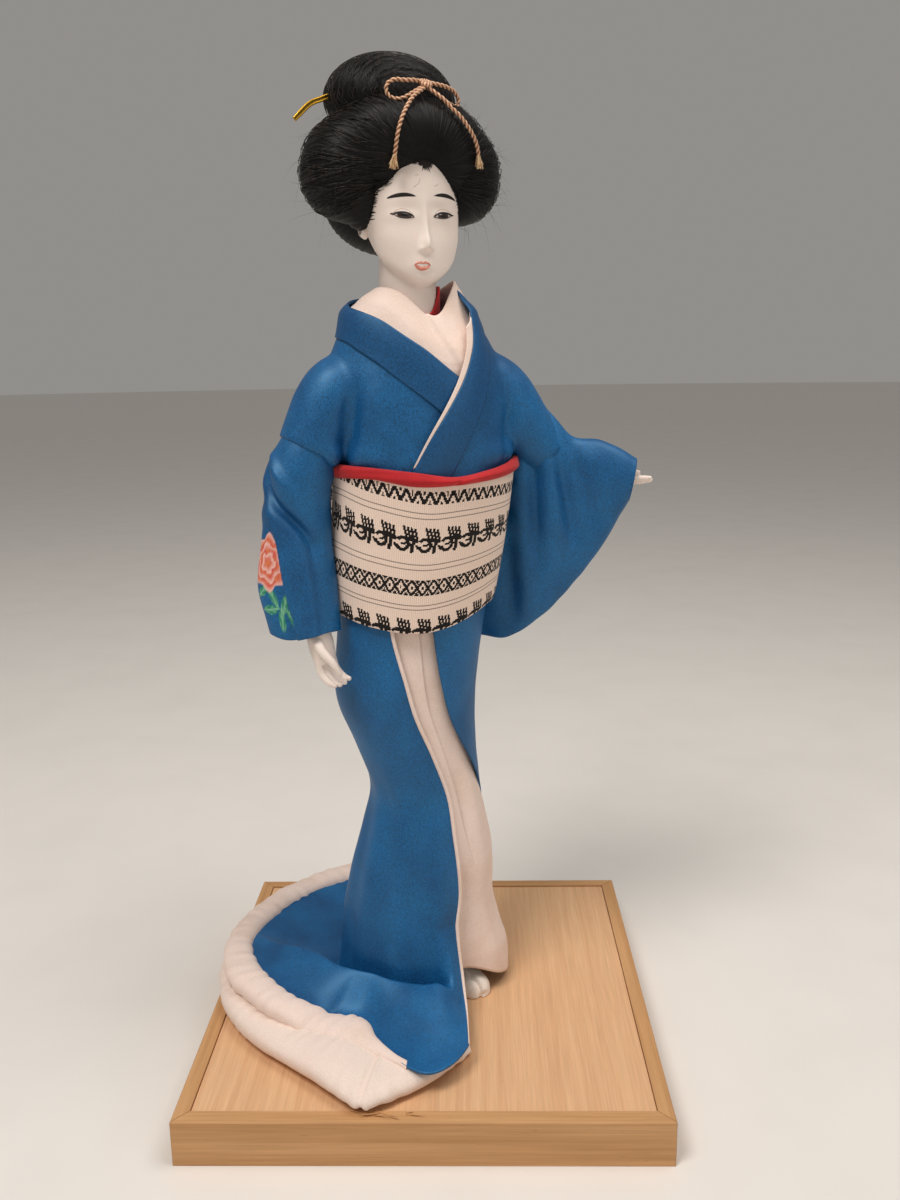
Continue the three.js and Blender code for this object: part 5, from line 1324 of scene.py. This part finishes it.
def build_mouth(look):
    """The mouth: an upper and a lower lip that swell on both sides of a narrow opening with teeth in it."""
    x0, z0, gape = -2.3, 330.2, 0.35
    s, t = np.linspace(-1, 1, 51)[:, None], np.linspace(-1, 1, 31)[None]
    upper = 1.5 * (1 - s ** 2) ** 0.7 - 0.5 * bell(s, 0, 0.16) + 0.15 * s ** 2
    lower = -2.3 * (1 - s ** 2) ** 0.6 + 0.15 * s ** 2
    z = z0 + np.where(t > 0, upper * t, -lower * t)
    x = np.broadcast_to(x0 + 3.1 * s, z.shape)
    over, under = (np.sin(np.pi * np.clip((way * t - gape) / (1 - gape), 0, 1)) for way in (1, -1))
    puff = np.where(t > gape, 0.45 * over, 0.7 * under) * np.sqrt(1 - s ** 2)
    teeth = smooth(bell(t, 0.02, 0.34) * (1 - s ** 2), 0.3, 0.55)
    lips = face_point(x, z, 0.05 + puff)
    painted("mouth_painted", lips, look.lips, 0.3, (x0, 0, z0), marks={"teeth": teeth})


HAIRLINE = [
    (-20.2, 348), (-19.8, 354), (-18, 360.5), (-13.8, 365.8), (-8.8, 368.8), (-3, 369.8), (0.4, 368.4),
    (4.6, 370.2), (9, 367.4), (13.2, 362.8), (17, 357.6), (19.6, 350),
]


def build_brows(look):
    """Painted hair: two arched brows, fine strokes that fan in from the hairline to a point in the middle,
    and a few old scratches on the forehead."""
    s = np.linspace(-1, 1, 40)
    brows = []
    for x0, z0, out, long in ((-9.8, 355.8, -1, 5.3), (9.2, 356.3, 1, 6.2)):
        brows.append(np.stack([x0 + long * out * s, z0 + 0.9 * (1 - s ** 2) - 0.3 * s], -1))
    wide = 0.72 * (1 - np.abs(s - 0.05) ** 2.2).clip(0) ** 0.8 + 0.05
    painted("brows_painted", brush(np.stack(brows), np.stack([wide, wide])), look.ink, BRUSH_THICK)
    draw = np.random.default_rng(12)
    line = spline(np.column_stack([HAIRLINE, np.zeros(len(HAIRLINE))]), 230)[:, :2]
    way = unit(np.gradient(line, axis=0))
    inward = np.stack([way[:, 1], -way[:, 0]], -1)
    peak = bell(line[:, 0], 0.4, 1.2)
    t = np.linspace(-1, 1, 9)
    reach = (draw.uniform(0.7, 1.9, len(line)) + 1.6 * peak)[:, None]
    lean = draw.normal(0, 0.15, len(line))[:, None]
    away = np.where(t > 0, t[None] * reach, t[None] * 3.0)
    strokes = line[:, None] + inward[:, None] * away[..., None] + way[:, None] * (lean * away)[..., None]
    widths = np.broadcast_to(0.34 * (1 - t.clip(0)) ** 0.7 + 0.02, strokes.shape[:2])
    painted("hairline_painted", brush(strokes, widths, 3), look.ink, BRUSH_THICK, slot="black_hair")
    scratches = np.array([
        [(-5.5, 359.5), (-3.4, 361), (-2.6, 363)], [(3.4, 360.4), (4.4, 360.6), (5.4, 361.4)],
        [(-4.6, 364), (-3.8, 364.3), (-3, 364.2)],
    ])
    painted("forehead_scratches", brush(scratches, np.full((3, 3), 0.1), 3, 0.03), look.shade, FAINT_THICK)


# Hair

PUFFS = [
    ((0, -8, 380), (23, 17, 15.5)), ((26.5, 3.5, 367.5), (16.5, 19, 18.5)),
    ((-26.5, 4, 367.5), (16.5, 19, 18.5)), ((14, -3.5, 376), (19, 18, 17)),
    ((-14, -3, 377), (19, 17.5, 16.5)), ((0, 20, 357), (27, 18, 20)), ((20.5, 1, 360), (6.5, 11, 12)),
    ((-20.5, 0.5, 357.5), (7, 11.5, 13)), ((0, 12, 374), (20, 17, 13.5)),
]
HAIR_HEART = np.array([0, 4, 366.0])
BUN = ((-3, 7, 396), (27, 21, 18))


def hair_mass(phi, turn):
    """The dressed hair round the face: in each direction from its heart the farthest of the puffs, blended
    where two are alike. The first angle runs from the face to the back, the second round the face."""
    way = np.stack([np.sin(phi) * np.sin(turn), -np.cos(phi), np.sin(phi) * np.cos(turn)], -1)
    total = 0
    for centre, half in PUFFS:
        half = np.array(half, float)
        q, d = (HAIR_HEART - centre) / half, way / half
        a, b, c = (d * d).sum(-1), d @ q, q @ q - 1
        far = (-b + np.sqrt(np.maximum(b * b - a * c, 0))) / a
        total = total + np.maximum(far, 1.0) ** 10
    return HAIR_HEART + way * (total ** (1 / 10))[..., None]


def comb(turn, seed, count=26, low=40, high=150):
    """Combed locks: a sum of seeded cosines of whole numbers of waves round the hair, from about -1 to 1."""
    draw = np.random.default_rng(seed)
    waves = draw.integers(low, high, count)
    return (np.cos(turn[..., None] * waves + draw.uniform(0, TAU, count)) * (low / waves)).mean(-1) * 2.4


def bun_point(lat, turn):
    """The bun: an oval ball whose poles lie in front and behind."""
    centre, half = BUN
    way = np.stack([np.cos(turn) * np.sin(lat), -np.cos(lat), np.sin(turn) * np.sin(lat)], -1)
    return np.array(centre) + way * np.array(half)


def build_hair(look):
    """Black silk hair: the blended mass and the bun, each with combed grooves and soft unevenness."""
    turn, phi = field(110, 520, v=(0.42, np.pi), u=(0, TAU), closed=True)
    grid = hair_mass(phi, turn)
    combed = 0.38 * comb(turn + 0.1 * np.sin(3 * phi), 7)
    grid = swell(grid, combed + 0.5 * ripple(grid, 17, 111), around=True)
    nodes = ["hair_front", "hair_side_left", "hair_side_right", "hair_back"]
    pad("hair_mass_combed", grid, look.hair, "head", nodes, "black_hair", 0.8, HEAD)
    turn, lat = field(220, 120, v=(0.02, np.pi - 0.02), u=(0, TAU), closed=True)
    grid = bun_point(lat, turn)
    combed = 0.3 * comb(2 * lat + 0.15 * np.sin(2 * turn), 9, 26, 16, 60)
    grid = swell(grid, combed + 0.4 * ripple(grid, 15, 112), around=True)
    uv = lengths(grid, True, False)[..., ::-1] / MM
    pad("hair_bun_combed", grid, look.hair, "head", ["hair_bun"], "black_hair", 0.8, HEAD, uv=uv)


def build_strands(look, sizes):
    """Loose strands: seeded paths that follow the combing a little above the hair and the bun, and a few
    hairs that fly away from the hair in bends and fall."""
    draw = np.random.default_rng(sizes.seed)
    count = sizes.strands
    t = np.linspace(0, 1, 13)[None]
    begin = draw.uniform(0.55, 2.2, (count, 1))
    phi = begin + t * draw.uniform(0.25, 0.9, (count, 1))
    turn = draw.uniform(-2.0, 2.0, (count, 1)) + 0.06 * np.sin(3 * t + draw.uniform(0, TAU, (count, 1)))
    lift = 0.45 + 0.55 * np.sin(np.pi * t) * draw.uniform(0.2, 1, (count, 1))
    way = hair_mass(phi, turn) - HAIR_HEART
    paths = HAIR_HEART + way * (1 + lift / np.linalg.norm(way, axis=-1))[..., None]
    half = count // 2
    lat = draw.uniform(0.35, 2.4, (half, 1)) + 0.05 * np.sin(4 * t)
    turn = draw.uniform(-0.6, 3.2, (half, 1)) + t * draw.uniform(0.3, 0.9, (half, 1))
    middle = np.array(BUN[0])
    over = middle + (bun_point(lat, turn) - middle) * (1.02 + 0.012 * np.sin(np.pi * t))[..., None]
    thin = sizes.strand_width / MM / 2 * np.sin(np.pi * (0.04 + 0.92 * t)) ** 0.4
    strands_of("hair_strands", np.concatenate([paths, over]), thin, 3, look.strand, "head")
    count = sizes.flyaways
    side = draw.choice([-1, 1], (count, 1))
    turn = side * draw.uniform(0.5, 2.3, (count, 1))
    phi = draw.uniform(1.0, 1.7, (count, 1))
    root = hair_mass(phi, turn)
    out = unit(root - HAIR_HEART + draw.normal(0, 6, (count, 1, 3)))
    bend = unit(np.cross(out, draw.normal(0, 1, (count, 1, 3))))
    long = draw.uniform(7, 22, (count, 1)) / 2
    t = np.linspace(0, 1, 9)[None]
    fall = np.stack([0.25 * side, 0 * side, 0 * side - 0.55], -1)
    paths = root + out * (long * (0.15 + 0.6 * t))[..., None] + bend * (long * t ** 1.6)[..., None]
    paths = paths + fall * (long * t ** 2)[..., None]
    strands_of("hair_flyaways", paths, 0.055 * (1.05 - t), 3, look.strand, "head")


PIN_ENTRY = np.array([-30, 7, 396.0])
PIN_ALONG = np.array([0.92, 0, 0.39]) / np.hypot(0.92, 0.39)
PIN_TIP = np.array([-44.5, 7, 386.4])


def build_hairpin(look):
    """The hairpin: a flat strip bent where it leaves the bun, with a groove between its two prongs."""
    path = spline([PIN_ENTRY + PIN_ALONG * d for d in (24, 12, 4, -3, -8)] + [PIN_TIP], 90)
    theta = circle(40)
    wide, deep = sideways(path, (0, 1, 0))
    share = np.linspace(0, 1, len(path))[:, None]
    size = mix(0.55, 1, smooth(share, 0, 0.3)) * (1 - 0.15 * smooth(share, 0.9, 1))
    groove = bell(np.cos(theta), 0, 0.22)[None] * smooth(share, 0.05, 0.15)
    a = 1.1 * signed(np.cos(theta), 0.6) * size
    b = 0.55 * signed(np.sin(theta), 0.6) * size * (1 - 0.5 * groove)
    grid = path[:, None] + wide[:, None] * a[..., None] + deep[:, None] * b[..., None]
    made = skin("hairpin_gilt", grid, HEAD, around=True, ends="az", marks={"groove": 0.9 * groove})
    settle(made, look.gilt, "hairpin", ["hairpin"])


# Hair cord

KNOT = np.array([0.8, -17.2, 398.4])
CORDS = {
    "hair_cord_loop_left": [
        (-0.4, -17.8, 398.8), (-4, -18.8, 398.9), (-8, -18.8, 398.6), (-12.3, -18, 398.5),
        (-15, -17.4, 396.6), (-15, -17.2, 393.8), (-12.9, -17.8, 391.9), (-9.4, -18.8, 391.9),
        (-5, -19.4, 394.2), (-0.6, -18.6, 396.8),
    ],
    "hair_cord_loop_right": [
        (2, -17.8, 398.8), (5.6, -18.4, 398.4), (10, -17.8, 398), (14.8, -16.2, 396.8), (17.2, -15, 394.2),
        (16.4, -15.2, 392), (12.8, -16.8, 391.8), (7.6, -18.4, 393.8), (2.2, -18.6, 396.8),
    ],
    "hair_cord_tail_left": [
        (0, -19.6, 396.4), (-7.4, -22.8, 391), (-12.4, -23.6, 381.5), (-14, -22.8, 374.5),
        (-14.7, -21, 366.3),
    ],
    "hair_cord_tail_right": [
        (1.8, -19.6, 396.4), (8.4, -22.4, 391), (14.6, -21.8, 382.3), (19.2, -19.8, 375.4),
        (22.4, -17.8, 369),
    ],
}


def twisted(path, radius, pitch, sides=18):
    """Two plies twisted together: circles along a path whose radius swells twice a turn, the swell winding
    round once in each pitch. Gives the rings and the depth of the groove between the plies."""
    ply = np.cos(2 * (circle(sides)[None] - TAU * travel(path)[:, None] / pitch))
    return rings(path, radius * (0.86 + 0.16 * ply), sides), (1 - ply) / 2


def laid(path, gap):
    """A path pushed out from the hair's heart to lie a gap above the hair where it would sink in."""
    way = path - HAIR_HEART
    far = np.linalg.norm(way, axis=-1)
    surface = hair_mass(np.arccos(-way[..., 1] / far), np.arctan2(way[..., 0], way[..., 2]))
    need = np.linalg.norm(surface - HAIR_HEART, axis=-1) + gap
    return HAIR_HEART + way * (np.maximum(far, need) / far)[..., None]


def build_bow(look, sizes):
    """The bow in the hair: two loops and two tails of twisted cord from one knot, each tail ending in a
    whipped tuft of frayed thread. The knot is a twisted ring round their start."""
    radius = sizes.cord_width / MM / 2
    for name, route in CORDS.items():
        tail = "tail" in name
        path = spline(route, 150)
        if tail:
            path = spline(laid(path[::15], 1.7), 150)
        # The groove mark carries the cord's painted shade in the groove and painted highlight on the plies.
        grid, groove = twisted(path, radius, 4.2)
        made = skin(f"{name}_twisted", grid, HEAD, around=True, ends="az", marks={"groove": groove})
        settle(made, look.cord, "head", [name])
        tufts = [build_tuft(look, name, path)] if tail else []
        round(travel(path)[-1] * MM, 4)
    turn, theta = circle(72), circle(16)
    middle = KNOT + np.stack([1.9 * np.cos(turn) + 0.4, -1.1 + 1.7 * np.sin(turn), 0.9 * np.sin(turn)], -1)
    wide = np.stack([np.cos(turn), np.sin(turn), 0 * turn], -1)
    ply = np.cos(2 * (theta[None] - 6 * turn[:, None]))
    size = radius * (0.9 + 0.14 * ply)
    ring = middle[:, None] + wide[:, None] * (size * np.cos(theta))[..., None]
    ring = ring + np.array([0, 0.3, 1.0]) * (1.5 * size * np.sin(theta))[..., None]
    # The knot's groove mark also carries painted shade in the groove and painted highlight on the plies.
    made = skin("hair_cord_knot_tied", ring, HEAD, around=True, along=True, marks={"groove": (1 - ply) / 2})
    settle(made, look.cord, "head", ["hair_cord_knot"])


def build_tuft(look, name, path):
    """Frayed end of a tail: fine threads that spread from a whipped neck at the end of the cord."""
    draw = np.random.default_rng(len(name))
    count = 46
    down = unit(path[-1] - path[-8])
    start = path[-1] - down * 1.2
    side = draw.normal(0, 1, (count, 3))
    side = unit(side - (side @ down)[:, None] * down) * np.sqrt(draw.uniform(0, 1, (count, 1)))
    t = np.linspace(0, 1, 7)[None, :, None]
    long = draw.uniform(3.2, 5.4, (count, 1, 1))
    paths = start + side[:, None] * (0.7 + 1.3 * t ** 1.4) + down * t * long
    return strands_of(f"{name}_tuft", paths, 0.13, 4, look.fray, "head")


# Hands and feet

# Each hand, drawn downwards: palm's line and half sizes, fingers' thickness and line, and thumb's line
HAND_SHAPES = {
    "right": (
        [(0, 0, 0.6), (0, 0, -6), (0, -0.5, -17)], [[3.5, 3.4], [5.4, 4.9], [6.0, 5.0], [5.5, 3.9]], 1.8,
        [(-0.4, -15), (-1.2, -21.8), (-4.8, -26), (-8.6, -27.2)],
        [(-3.6, -1.2, -5), (-5.4, -5.8, -10), (-4.6, -9.6, -15.5), (-3.0, -11, -21.5)],
    ),
    "left": (
        [(0, 0, 0.6), (0, 0, -6), (0, -0.3, -17)], [[3.2, 2.9], [4.2, 2.8], [4.7, 2.4], [4.3, 1.9]], 1.4,
        [(-0.2, -15), (-0.75, -21), (-2.1, -26.5), (-2.9, -29.6)],
        [(-2.4, -0.6, -6), (-4.2, -1.8, -12), (-4.6, -3.0, -18), (-4.4, -3.8, -22.5)],
    ),
}
FINGER_TAPER = (1, 0.95, 0.83, 0.55)
THUMB_TAPER = (1.4, 1.15, 0.95, 0.6)
HAND_SPIN = {"left": 90, "right": 35}


def aimed(grid, side):
    """A hand drawn downwards from its wrist, spun about its length and turned to point along the arm."""
    wrist, tip = (np.array(p, float) for p in (ARMS[side][-1], HANDS[side]))
    along = unit(tip - wrist)
    spin = Matrix.Rotation(np.radians(HAND_SPIN[side]), 3, "Z")
    turn = np.array(Vector((0, 0, -1)).rotation_difference(Vector(along)).to_matrix() @ spin)
    return grid @ turn.T + wrist + along * FIT


def build_hands(look):
    """Each hand: a flattened palm, four jointed fingers and a thumb, melted together and smoothed."""
    for side, (middle, halves, thick, line, thumb) in HAND_SHAPES.items():
        parts = [tube(middle, halves, 26, 28, (0, 1, 0))]
        first = line[0][1]
        for k in range(4):
            reach = 1 - 0.06 * abs(k - 1.6)
            x = (k - 1.5) * 1.63 * thick
            finger = [(x, y, first + (z - first) * reach) for y, z in line]
            parts.append(tube(finger, [[share * thick] for share in FINGER_TAPER], 24, 14, (0, 1, 0.05)))
        parts.append(tube(thumb, [[share * thick] for share in THUMB_TAPER], 24, 14, (0, 1, 0.1)))
        points, quads = melded(f"hand_{side}", [aimed(p, side) for p in parts], 0.42, 4)
        made = mesh_object(f"hand_{side}_painted", points, [quads])
        settle(made, look.skin, f"{side}_hand", [f"hand_{side}"])


FOOT = stations([
    [0, 14, 3, 7], [0.12, 11, 5.6, 14], [0.27, 4, 6.5, 19], [0.48, -6, 7, 17], [0.68, -16, 7.8, 12.5],
    [0.86, -25, 7.4, 9.5], [0.95, -30, 5.6, 7.5], [1, -32.4, 2.2, 4],
])
FOOT_TURN = 27


def build_feet(look):
    """Feet in split-toed socks: half ovals from heel to toe on a flat sole, with the split beside the big
    toe, and a round ankle."""
    for side, inner in (("left", 1), ("right", -1)):
        theta, t = field(90, 72, u=(0, TAU), closed=True)
        y, wide, tall = FOOT(t)
        up = np.maximum(0, np.sin(theta)) ** 0.8
        x = wide * np.cos(theta)
        split = bell(x, -2.4 * inner, 0.7) * smooth(t, 0.72, 0.9)
        z = 0.35 + tall * up * (1 - 0.32 * split) - 0.2 * (np.sin(theta) < 0)
        sock = np.stack([x, y + 2.2 * split * smooth(t, 0.88, 1), z], -1)
        ankle = rings(spline([(0, 0, 8), (0, 0, 16), (0, 0, 24.4)], 20), np.linspace(6.2, 5.4, 20), 40)
        under_leg = np.array([*LEGS[side][0][:2], 0])
        grids = [spun(grid, FOOT_TURN) + under_leg for grid in (sock, ankle)]
        points, quads = melded(f"foot_{side}", grids, 0.5, 3)
        made = mesh_object(f"foot_{side}_sock", points, [quads])
        settle(made, look.cotton, "doll", [f"foot_{side}"])


# Stage

# Lamps: place and width in metres, then watts
LAMPS = {
    "key_lamp": ((-0.45, -0.62, 1.4), 0.5, 11.6),
    "fill_lamp": ((1.0, -0.9, 0.6), 0.9, 1.7),
    "top_lamp": ((0.42, -0.1, 1.25), 0.6, 5.2),
}
LAMP_AIM = Vector((0, 0, 0.2))
FLOOR_RADIUS = 12000

# The camera: place in metres, yaw, pitch and tilt in degrees, and lens and film width in millimetres
CAMERA_AT = (0.02209, -0.46557, 0.3127)
CAMERA_TURNS = (-1.26, 12.71, -0.86)
CAMERA_LENS = 32.18
FILM_WIDTH = 36


def build_stage(look):
    """A pale floor and surround, soft lamps from the front left, above and the right, and the camera."""
    scene = bpy.context.scene
    angle, r = field(24, 64, u=(0, TAU), closed=True)
    far = FLOOR_RADIUS * r ** 2
    disc = np.stack([far * np.cos(angle), far * np.sin(angle), 0 * r - 0.1], -1)
    floor = skin("floor", disc, STAND, around=True, inside=(0, 0, -100))
    floor.data.materials.append(look.floor)
    for name, (place, size, power) in LAMPS.items():
        lamp = bpy.data.lights.new(name, "AREA")
        lamp.size = size
        lamp.energy = power
        lamp.color = (1.0, 0.95, 0.9)
        made = bpy.data.objects.new(name, lamp)
        made.location = place
        made.rotation_euler = (LAMP_AIM - Vector(place)).to_track_quat("-Z", "Y").to_euler()
        scene.collection.objects.link(made)
    world = bpy.data.worlds.new("pale_room")
    world.use_nodes = True
    surround = world.node_tree.nodes["Background"].inputs
    surround["Color"].default_value = linear("#E9E5E0")
    surround["Strength"].default_value = 0.35
    scene.world = world
    scene.view_settings.view_transform = "Standard"
    lens = bpy.data.cameras.new("photo_view")
    lens.sensor_width = FILM_WIDTH
    lens.lens = CAMERA_LENS
    lens.clip_start = 0.01
    yaw, pitch, tilt = np.radians(CAMERA_TURNS)
    ahead = Vector((np.sin(yaw) * np.cos(pitch), np.cos(yaw) * np.cos(pitch), -np.sin(pitch)))
    right = Vector((np.cos(yaw), -np.sin(yaw), 0))
    up = right.cross(ahead)
    across, over = right * np.cos(tilt) + up * np.sin(tilt), up * np.cos(tilt) - right * np.sin(tilt)
    view = bpy.data.objects.new("photo_view", lens)
    scene.collection.objects.link(view)
    turned = Matrix((across, over, -ahead)).transposed().to_4x4()
    view.matrix_world = Matrix.Translation(CAMERA_AT) @ turned
    scene.camera = view


# Settings, operators and panel

def hue(label, text, code):
    """A colour that a user may choose, from its sRGB hex value."""
    return bpy.props.FloatVectorProperty(name=label, description=text, subtype="COLOR", size=4, min=0, max=1,
                                         default=linear(code))


class DollColours(bpy.types.PropertyGroup):
    """Colours of the doll's cloths and paints."""
    satin: hue("Satin", "Lit colour of the kimono's satin", "#125E95")
    satin_deep: hue("Satin, deep", "Deeper colour of the kimono's satin", "#0A4577")
    # The collar band is the kimono's satin in a darker colour: painted shade.
    collar: hue("Collar", "Colour of the kimono's collar band", "#0A4474")
    cream: hue("Crepe", "Colour of the underskirt and linings", "#F0DBD0")
    soiled: hue("Crepe, yellowed", "Colour where the crepe has yellowed", "#E9D0C0")
    red: hue("Red silk", "Colour of the scarf and inner collar", "#C4262B")
    ground: hue("Sash", "Ground of the woven sash", "#F5DDCC")
    ink: hue("Ink", "Black of the sash's weft and the painted brows", "#1A1614")
    skin: hue("White paint", "Paint of the face and hands", "#F1E3D9")
    hair: hue("Hair", "Black of the silk hair", "#080706")
    # The cord's colour is that of its ply crests, a painted highlight.
    cord: hue("Cord", "Bright plies of the hair cord", "#DDB08C")
    gold: hue("Gilding", "Gold of the hairpin", "#E2B13C")
    deck: hue("Deck", "Pale wood of the deck", "#E2B68B")
    rail: hue("Rails", "Wood of the stand's rails", "#CFA070")


class DollSizes(bpy.types.PropertyGroup):
    """Sizes of the doll's finer pieces."""
    cord_width: bpy.props.FloatProperty(name="Cord width", description="Width of the twisted hair cord",
                                        default=0.0017, min=0.001, max=0.004, unit="LENGTH")
    strand_width: bpy.props.FloatProperty(name="Strand width", description="Width of a loose lock of hair",
                                          default=0.0003, min=0.0001, max=0.002, unit="LENGTH")
    strands: bpy.props.IntProperty(name="Strands", description="How many combed strands lie on the hair",
                                   default=620, min=0, max=3000)
    flyaways: bpy.props.IntProperty(name="Flyaways", description="How many hairs stand away", default=130,
                                    min=0, max=600)
    seed: bpy.props.IntProperty(name="Seed", description="Start of the strands' random places", default=3,
                                min=0)


class Look:
    """The doll's materials, made once from the chosen colours."""

    def __init__(self, hues):
        self.blue = satin("blue_satin", hues.satin, hues.satin_deep)
        # The same satin, darker: painted shade on the collar band.
        self.collar = satin("collar_satin_painted_shade", hues.collar, hues.satin_deep)
        self.flowered = satin("flowered_satin", hues.satin, hues.satin_deep, peony_print)
        self.cream = crepe("cream_silk_crepe", hues.cream, hues.soiled)
        self.white = crepe("white_silk_crepe", "#F0DED2", hues.cream)
        self.red = crepe("red_silk_crepe", hues.red, "#A91E26", 0.5)
        self.cotton = crepe("white_cotton", "#F3E9DF", "#E6D8C8")
        self.brocade = brocade("cotton_brocade", hues.ground, hues.ink)
        self.skin = painted_white("shell_white_paint", hues.skin, "#E6D3C6")
        self.ink = plain_paint("brush_ink", hues.ink, "#2C211C", 0.5)
        # Brown lines: real wear for the forehead scratches, painted shade for the lids' creases.
        self.shade = plain_paint("brown_wear_and_lid_shade_line", "#C0A293", "#D6BCAD", 0.6)
        self.lips = lip_paint("coral_lip_paint", "#E39C88", "#F4EAE2")
        self.eye = inset_eye("inset_eye")
        # The hair's second colour is a painted highlight along the strands.
        self.hair = silk_hair("black_silk_fibre", hues.hair, "#171211")
        self.strand = plain_paint("black_silk_strand", hues.hair, "#3A302C", 0.35, 2.0)
        # The cord's second colour is painted shade for the groove between the plies.
        self.cord = twisted_thread("copper_gold_cord", hues.cord, "#7C4A30")
        self.fray = plain_paint("frayed_thread", "#E9CFA6", "#C98F5C", 0.6)
        self.gilt = gilt("gilt_brass", hues.gold, "#A77A22")
        self.plywood = timber("birch_plywood", hues.deck, "#D8A87E", "y", 0.12)
        self.rail_x = timber("sawn_rail_across", hues.rail, "#BC8C5C", "x", 0.22)
        self.rail_y = timber("sawn_rail_deep", hues.rail, "#BC8C5C", "y", 0.22)
        self.straw = wound_tape("wood_wool_and_tape", "#DCCBA4", "#A98C52")
        self.wire = drawn_wire("drawn_steel_wire", "#A9ABAE", "#7C7E82")
        self.floor = plain_paint("pale_floor", "#ECE8E3", "#E9E5E0", 0.8, 60.0)


LOOKS = []


def look_of(context):
    """The doll's materials, made at the first call."""
    if not LOOKS:
        LOOKS.append(Look(context.scene.doll_colours))
    return LOOKS[0]


class DOLL_OT_stage(bpy.types.Operator):
    """Set the floor, the lamps and the camera"""
    bl_idname = "doll.stage"
    bl_label = "Stage"

    def execute(self, context):
        build_stage(look_of(context))
        return {"FINISHED"}


class DOLL_OT_bow(bpy.types.Operator):
    """Tie the twisted hair cord into its bow"""
    bl_idname = "doll.bow"
    bl_label = "Hair cord"

    def execute(self, context):
        build_bow(look_of(context), context.scene.doll_sizes)
        return {"FINISHED"}


class DOLL_OT_stand(bpy.types.Operator):
    """Finish the wooden stand"""
    bl_idname = "doll.stand"
    bl_label = "Stand"

    def execute(self, context):
        build_stand(look_of(context))
        return {"FINISHED"}


class DOLL_OT_stuffing(bpy.types.Operator):
    """Wind the stuffed body, arms and legs"""
    bl_idname = "doll.stuffing"
    bl_label = "Stuffing"

    def execute(self, context):
        build_stuffing(look_of(context))
        return {"FINISHED"}


class DOLL_OT_skirt(bpy.types.Operator):
    """Drape the skirt, its train and the underskirt"""
    bl_idname = "doll.skirt"
    bl_label = "Skirts"

    def execute(self, context):
        look = look_of(context)
        build_skirt(look)
        build_underskirt(look)
        return {"FINISHED"}


class DOLL_OT_hem(bpy.types.Operator):
    """Lay the two padded hem rolls"""
    bl_idname = "doll.hem"
    bl_label = "Hem rolls"

    def execute(self, context):
        build_hem_rolls(look_of(context))
        return {"FINISHED"}


class DOLL_OT_bodice(bpy.types.Operator):
    """Fit the upper kimono over chest and shoulders"""
    bl_idname = "doll.bodice"
    bl_label = "Bodice"

    def execute(self, context):
        build_bodice(look_of(context))
        return {"FINISHED"}


class DOLL_OT_sleeves(bpy.types.Operator):
    """Hang the two sleeves"""
    bl_idname = "doll.sleeves"
    bl_label = "Sleeves"

    def execute(self, context):
        look = look_of(context)
        build_right_sleeve(look)
        build_left_sleeve(look)
        return {"FINISHED"}


class DOLL_OT_collars(bpy.types.Operator):
    """Fold the three collars round the neck"""
    bl_idname = "doll.collars"
    bl_label = "Collars"

    def execute(self, context):
        look = look_of(context)
        build_collars(look)
        build_collar_band(look)
        return {"FINISHED"}


class DOLL_OT_sash(bpy.types.Operator):
    """Wind the woven sash, its scarf and its knot"""
    bl_idname = "doll.sash"
    bl_label = "Sash"

    def execute(self, context):
        look = look_of(context)
        build_sash_band(look)
        build_scarf(look)
        build_sash_knot(look)
        return {"FINISHED"}


class DOLL_OT_head(bpy.types.Operator):
    """Model and paint the head"""
    bl_idname = "doll.head"
    bl_label = "Head"

    def execute(self, context):
        build_head(look_of(context))
        return {"FINISHED"}


class DOLL_OT_hair(bpy.types.Operator):
    """Dress the hair and set the hairpin"""
    bl_idname = "doll.hair"
    bl_label = "Hair"

    def execute(self, context):
        look = look_of(context)
        build_hair(look)
        build_strands(look, context.scene.doll_sizes)
        build_hairpin(look)
        return {"FINISHED"}


class DOLL_OT_limbs(bpy.types.Operator):
    """Shape the hands and the feet"""
    bl_idname = "doll.limbs"
    bl_label = "Hands and feet"

    def execute(self, context):
        look = look_of(context)
        build_hands(look)
        build_feet(look)
        return {"FINISHED"}


OPERATORS = (
    DOLL_OT_stage, DOLL_OT_bow, DOLL_OT_stand, DOLL_OT_stuffing, DOLL_OT_skirt, DOLL_OT_hem, DOLL_OT_bodice,
    DOLL_OT_sleeves, DOLL_OT_collars, DOLL_OT_sash, DOLL_OT_head, DOLL_OT_hair, DOLL_OT_limbs,
)


class DOLL_PT_panel(bpy.types.Panel):
    """Lists the doll's settings and its pieces"""
    bl_idname = "DOLL_PT_panel"
    bl_label = "Costume Doll"
    bl_space_type = "VIEW_3D"
    bl_region_type = "UI"
    bl_category = "Doll"

    def draw(self, context):
        for group in (context.scene.doll_sizes, context.scene.doll_colours):
            for key in group.bl_rna.properties.keys():
                if key not in ("rna_type", "name"):
                    self.layout.prop(group, key)
        for operator in OPERATORS:
            self.layout.operator(operator.bl_idname)


CLASSES = (DollColours, DollSizes, *OPERATORS, DOLL_PT_panel)


def register():
    """Adds the classes and the scene's settings to Blender."""
    for kind in CLASSES:
        bpy.utils.register_class(kind)
    bpy.types.Scene.doll_colours = bpy.props.PointerProperty(type=DollColours)
    bpy.types.Scene.doll_sizes = bpy.props.PointerProperty(type=DollSizes)


def unregister():
    """Takes them out again."""
    del bpy.types.Scene.doll_sizes
    del bpy.types.Scene.doll_colours
    for kind in reversed(CLASSES):
        bpy.utils.unregister_class(kind)


def main():
    """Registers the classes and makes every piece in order."""
    register()
    for operator in OPERATORS:
        getattr(bpy.ops.doll, operator.bl_idname.split(".")[1])()


if __name__ == "__main__":
    main()
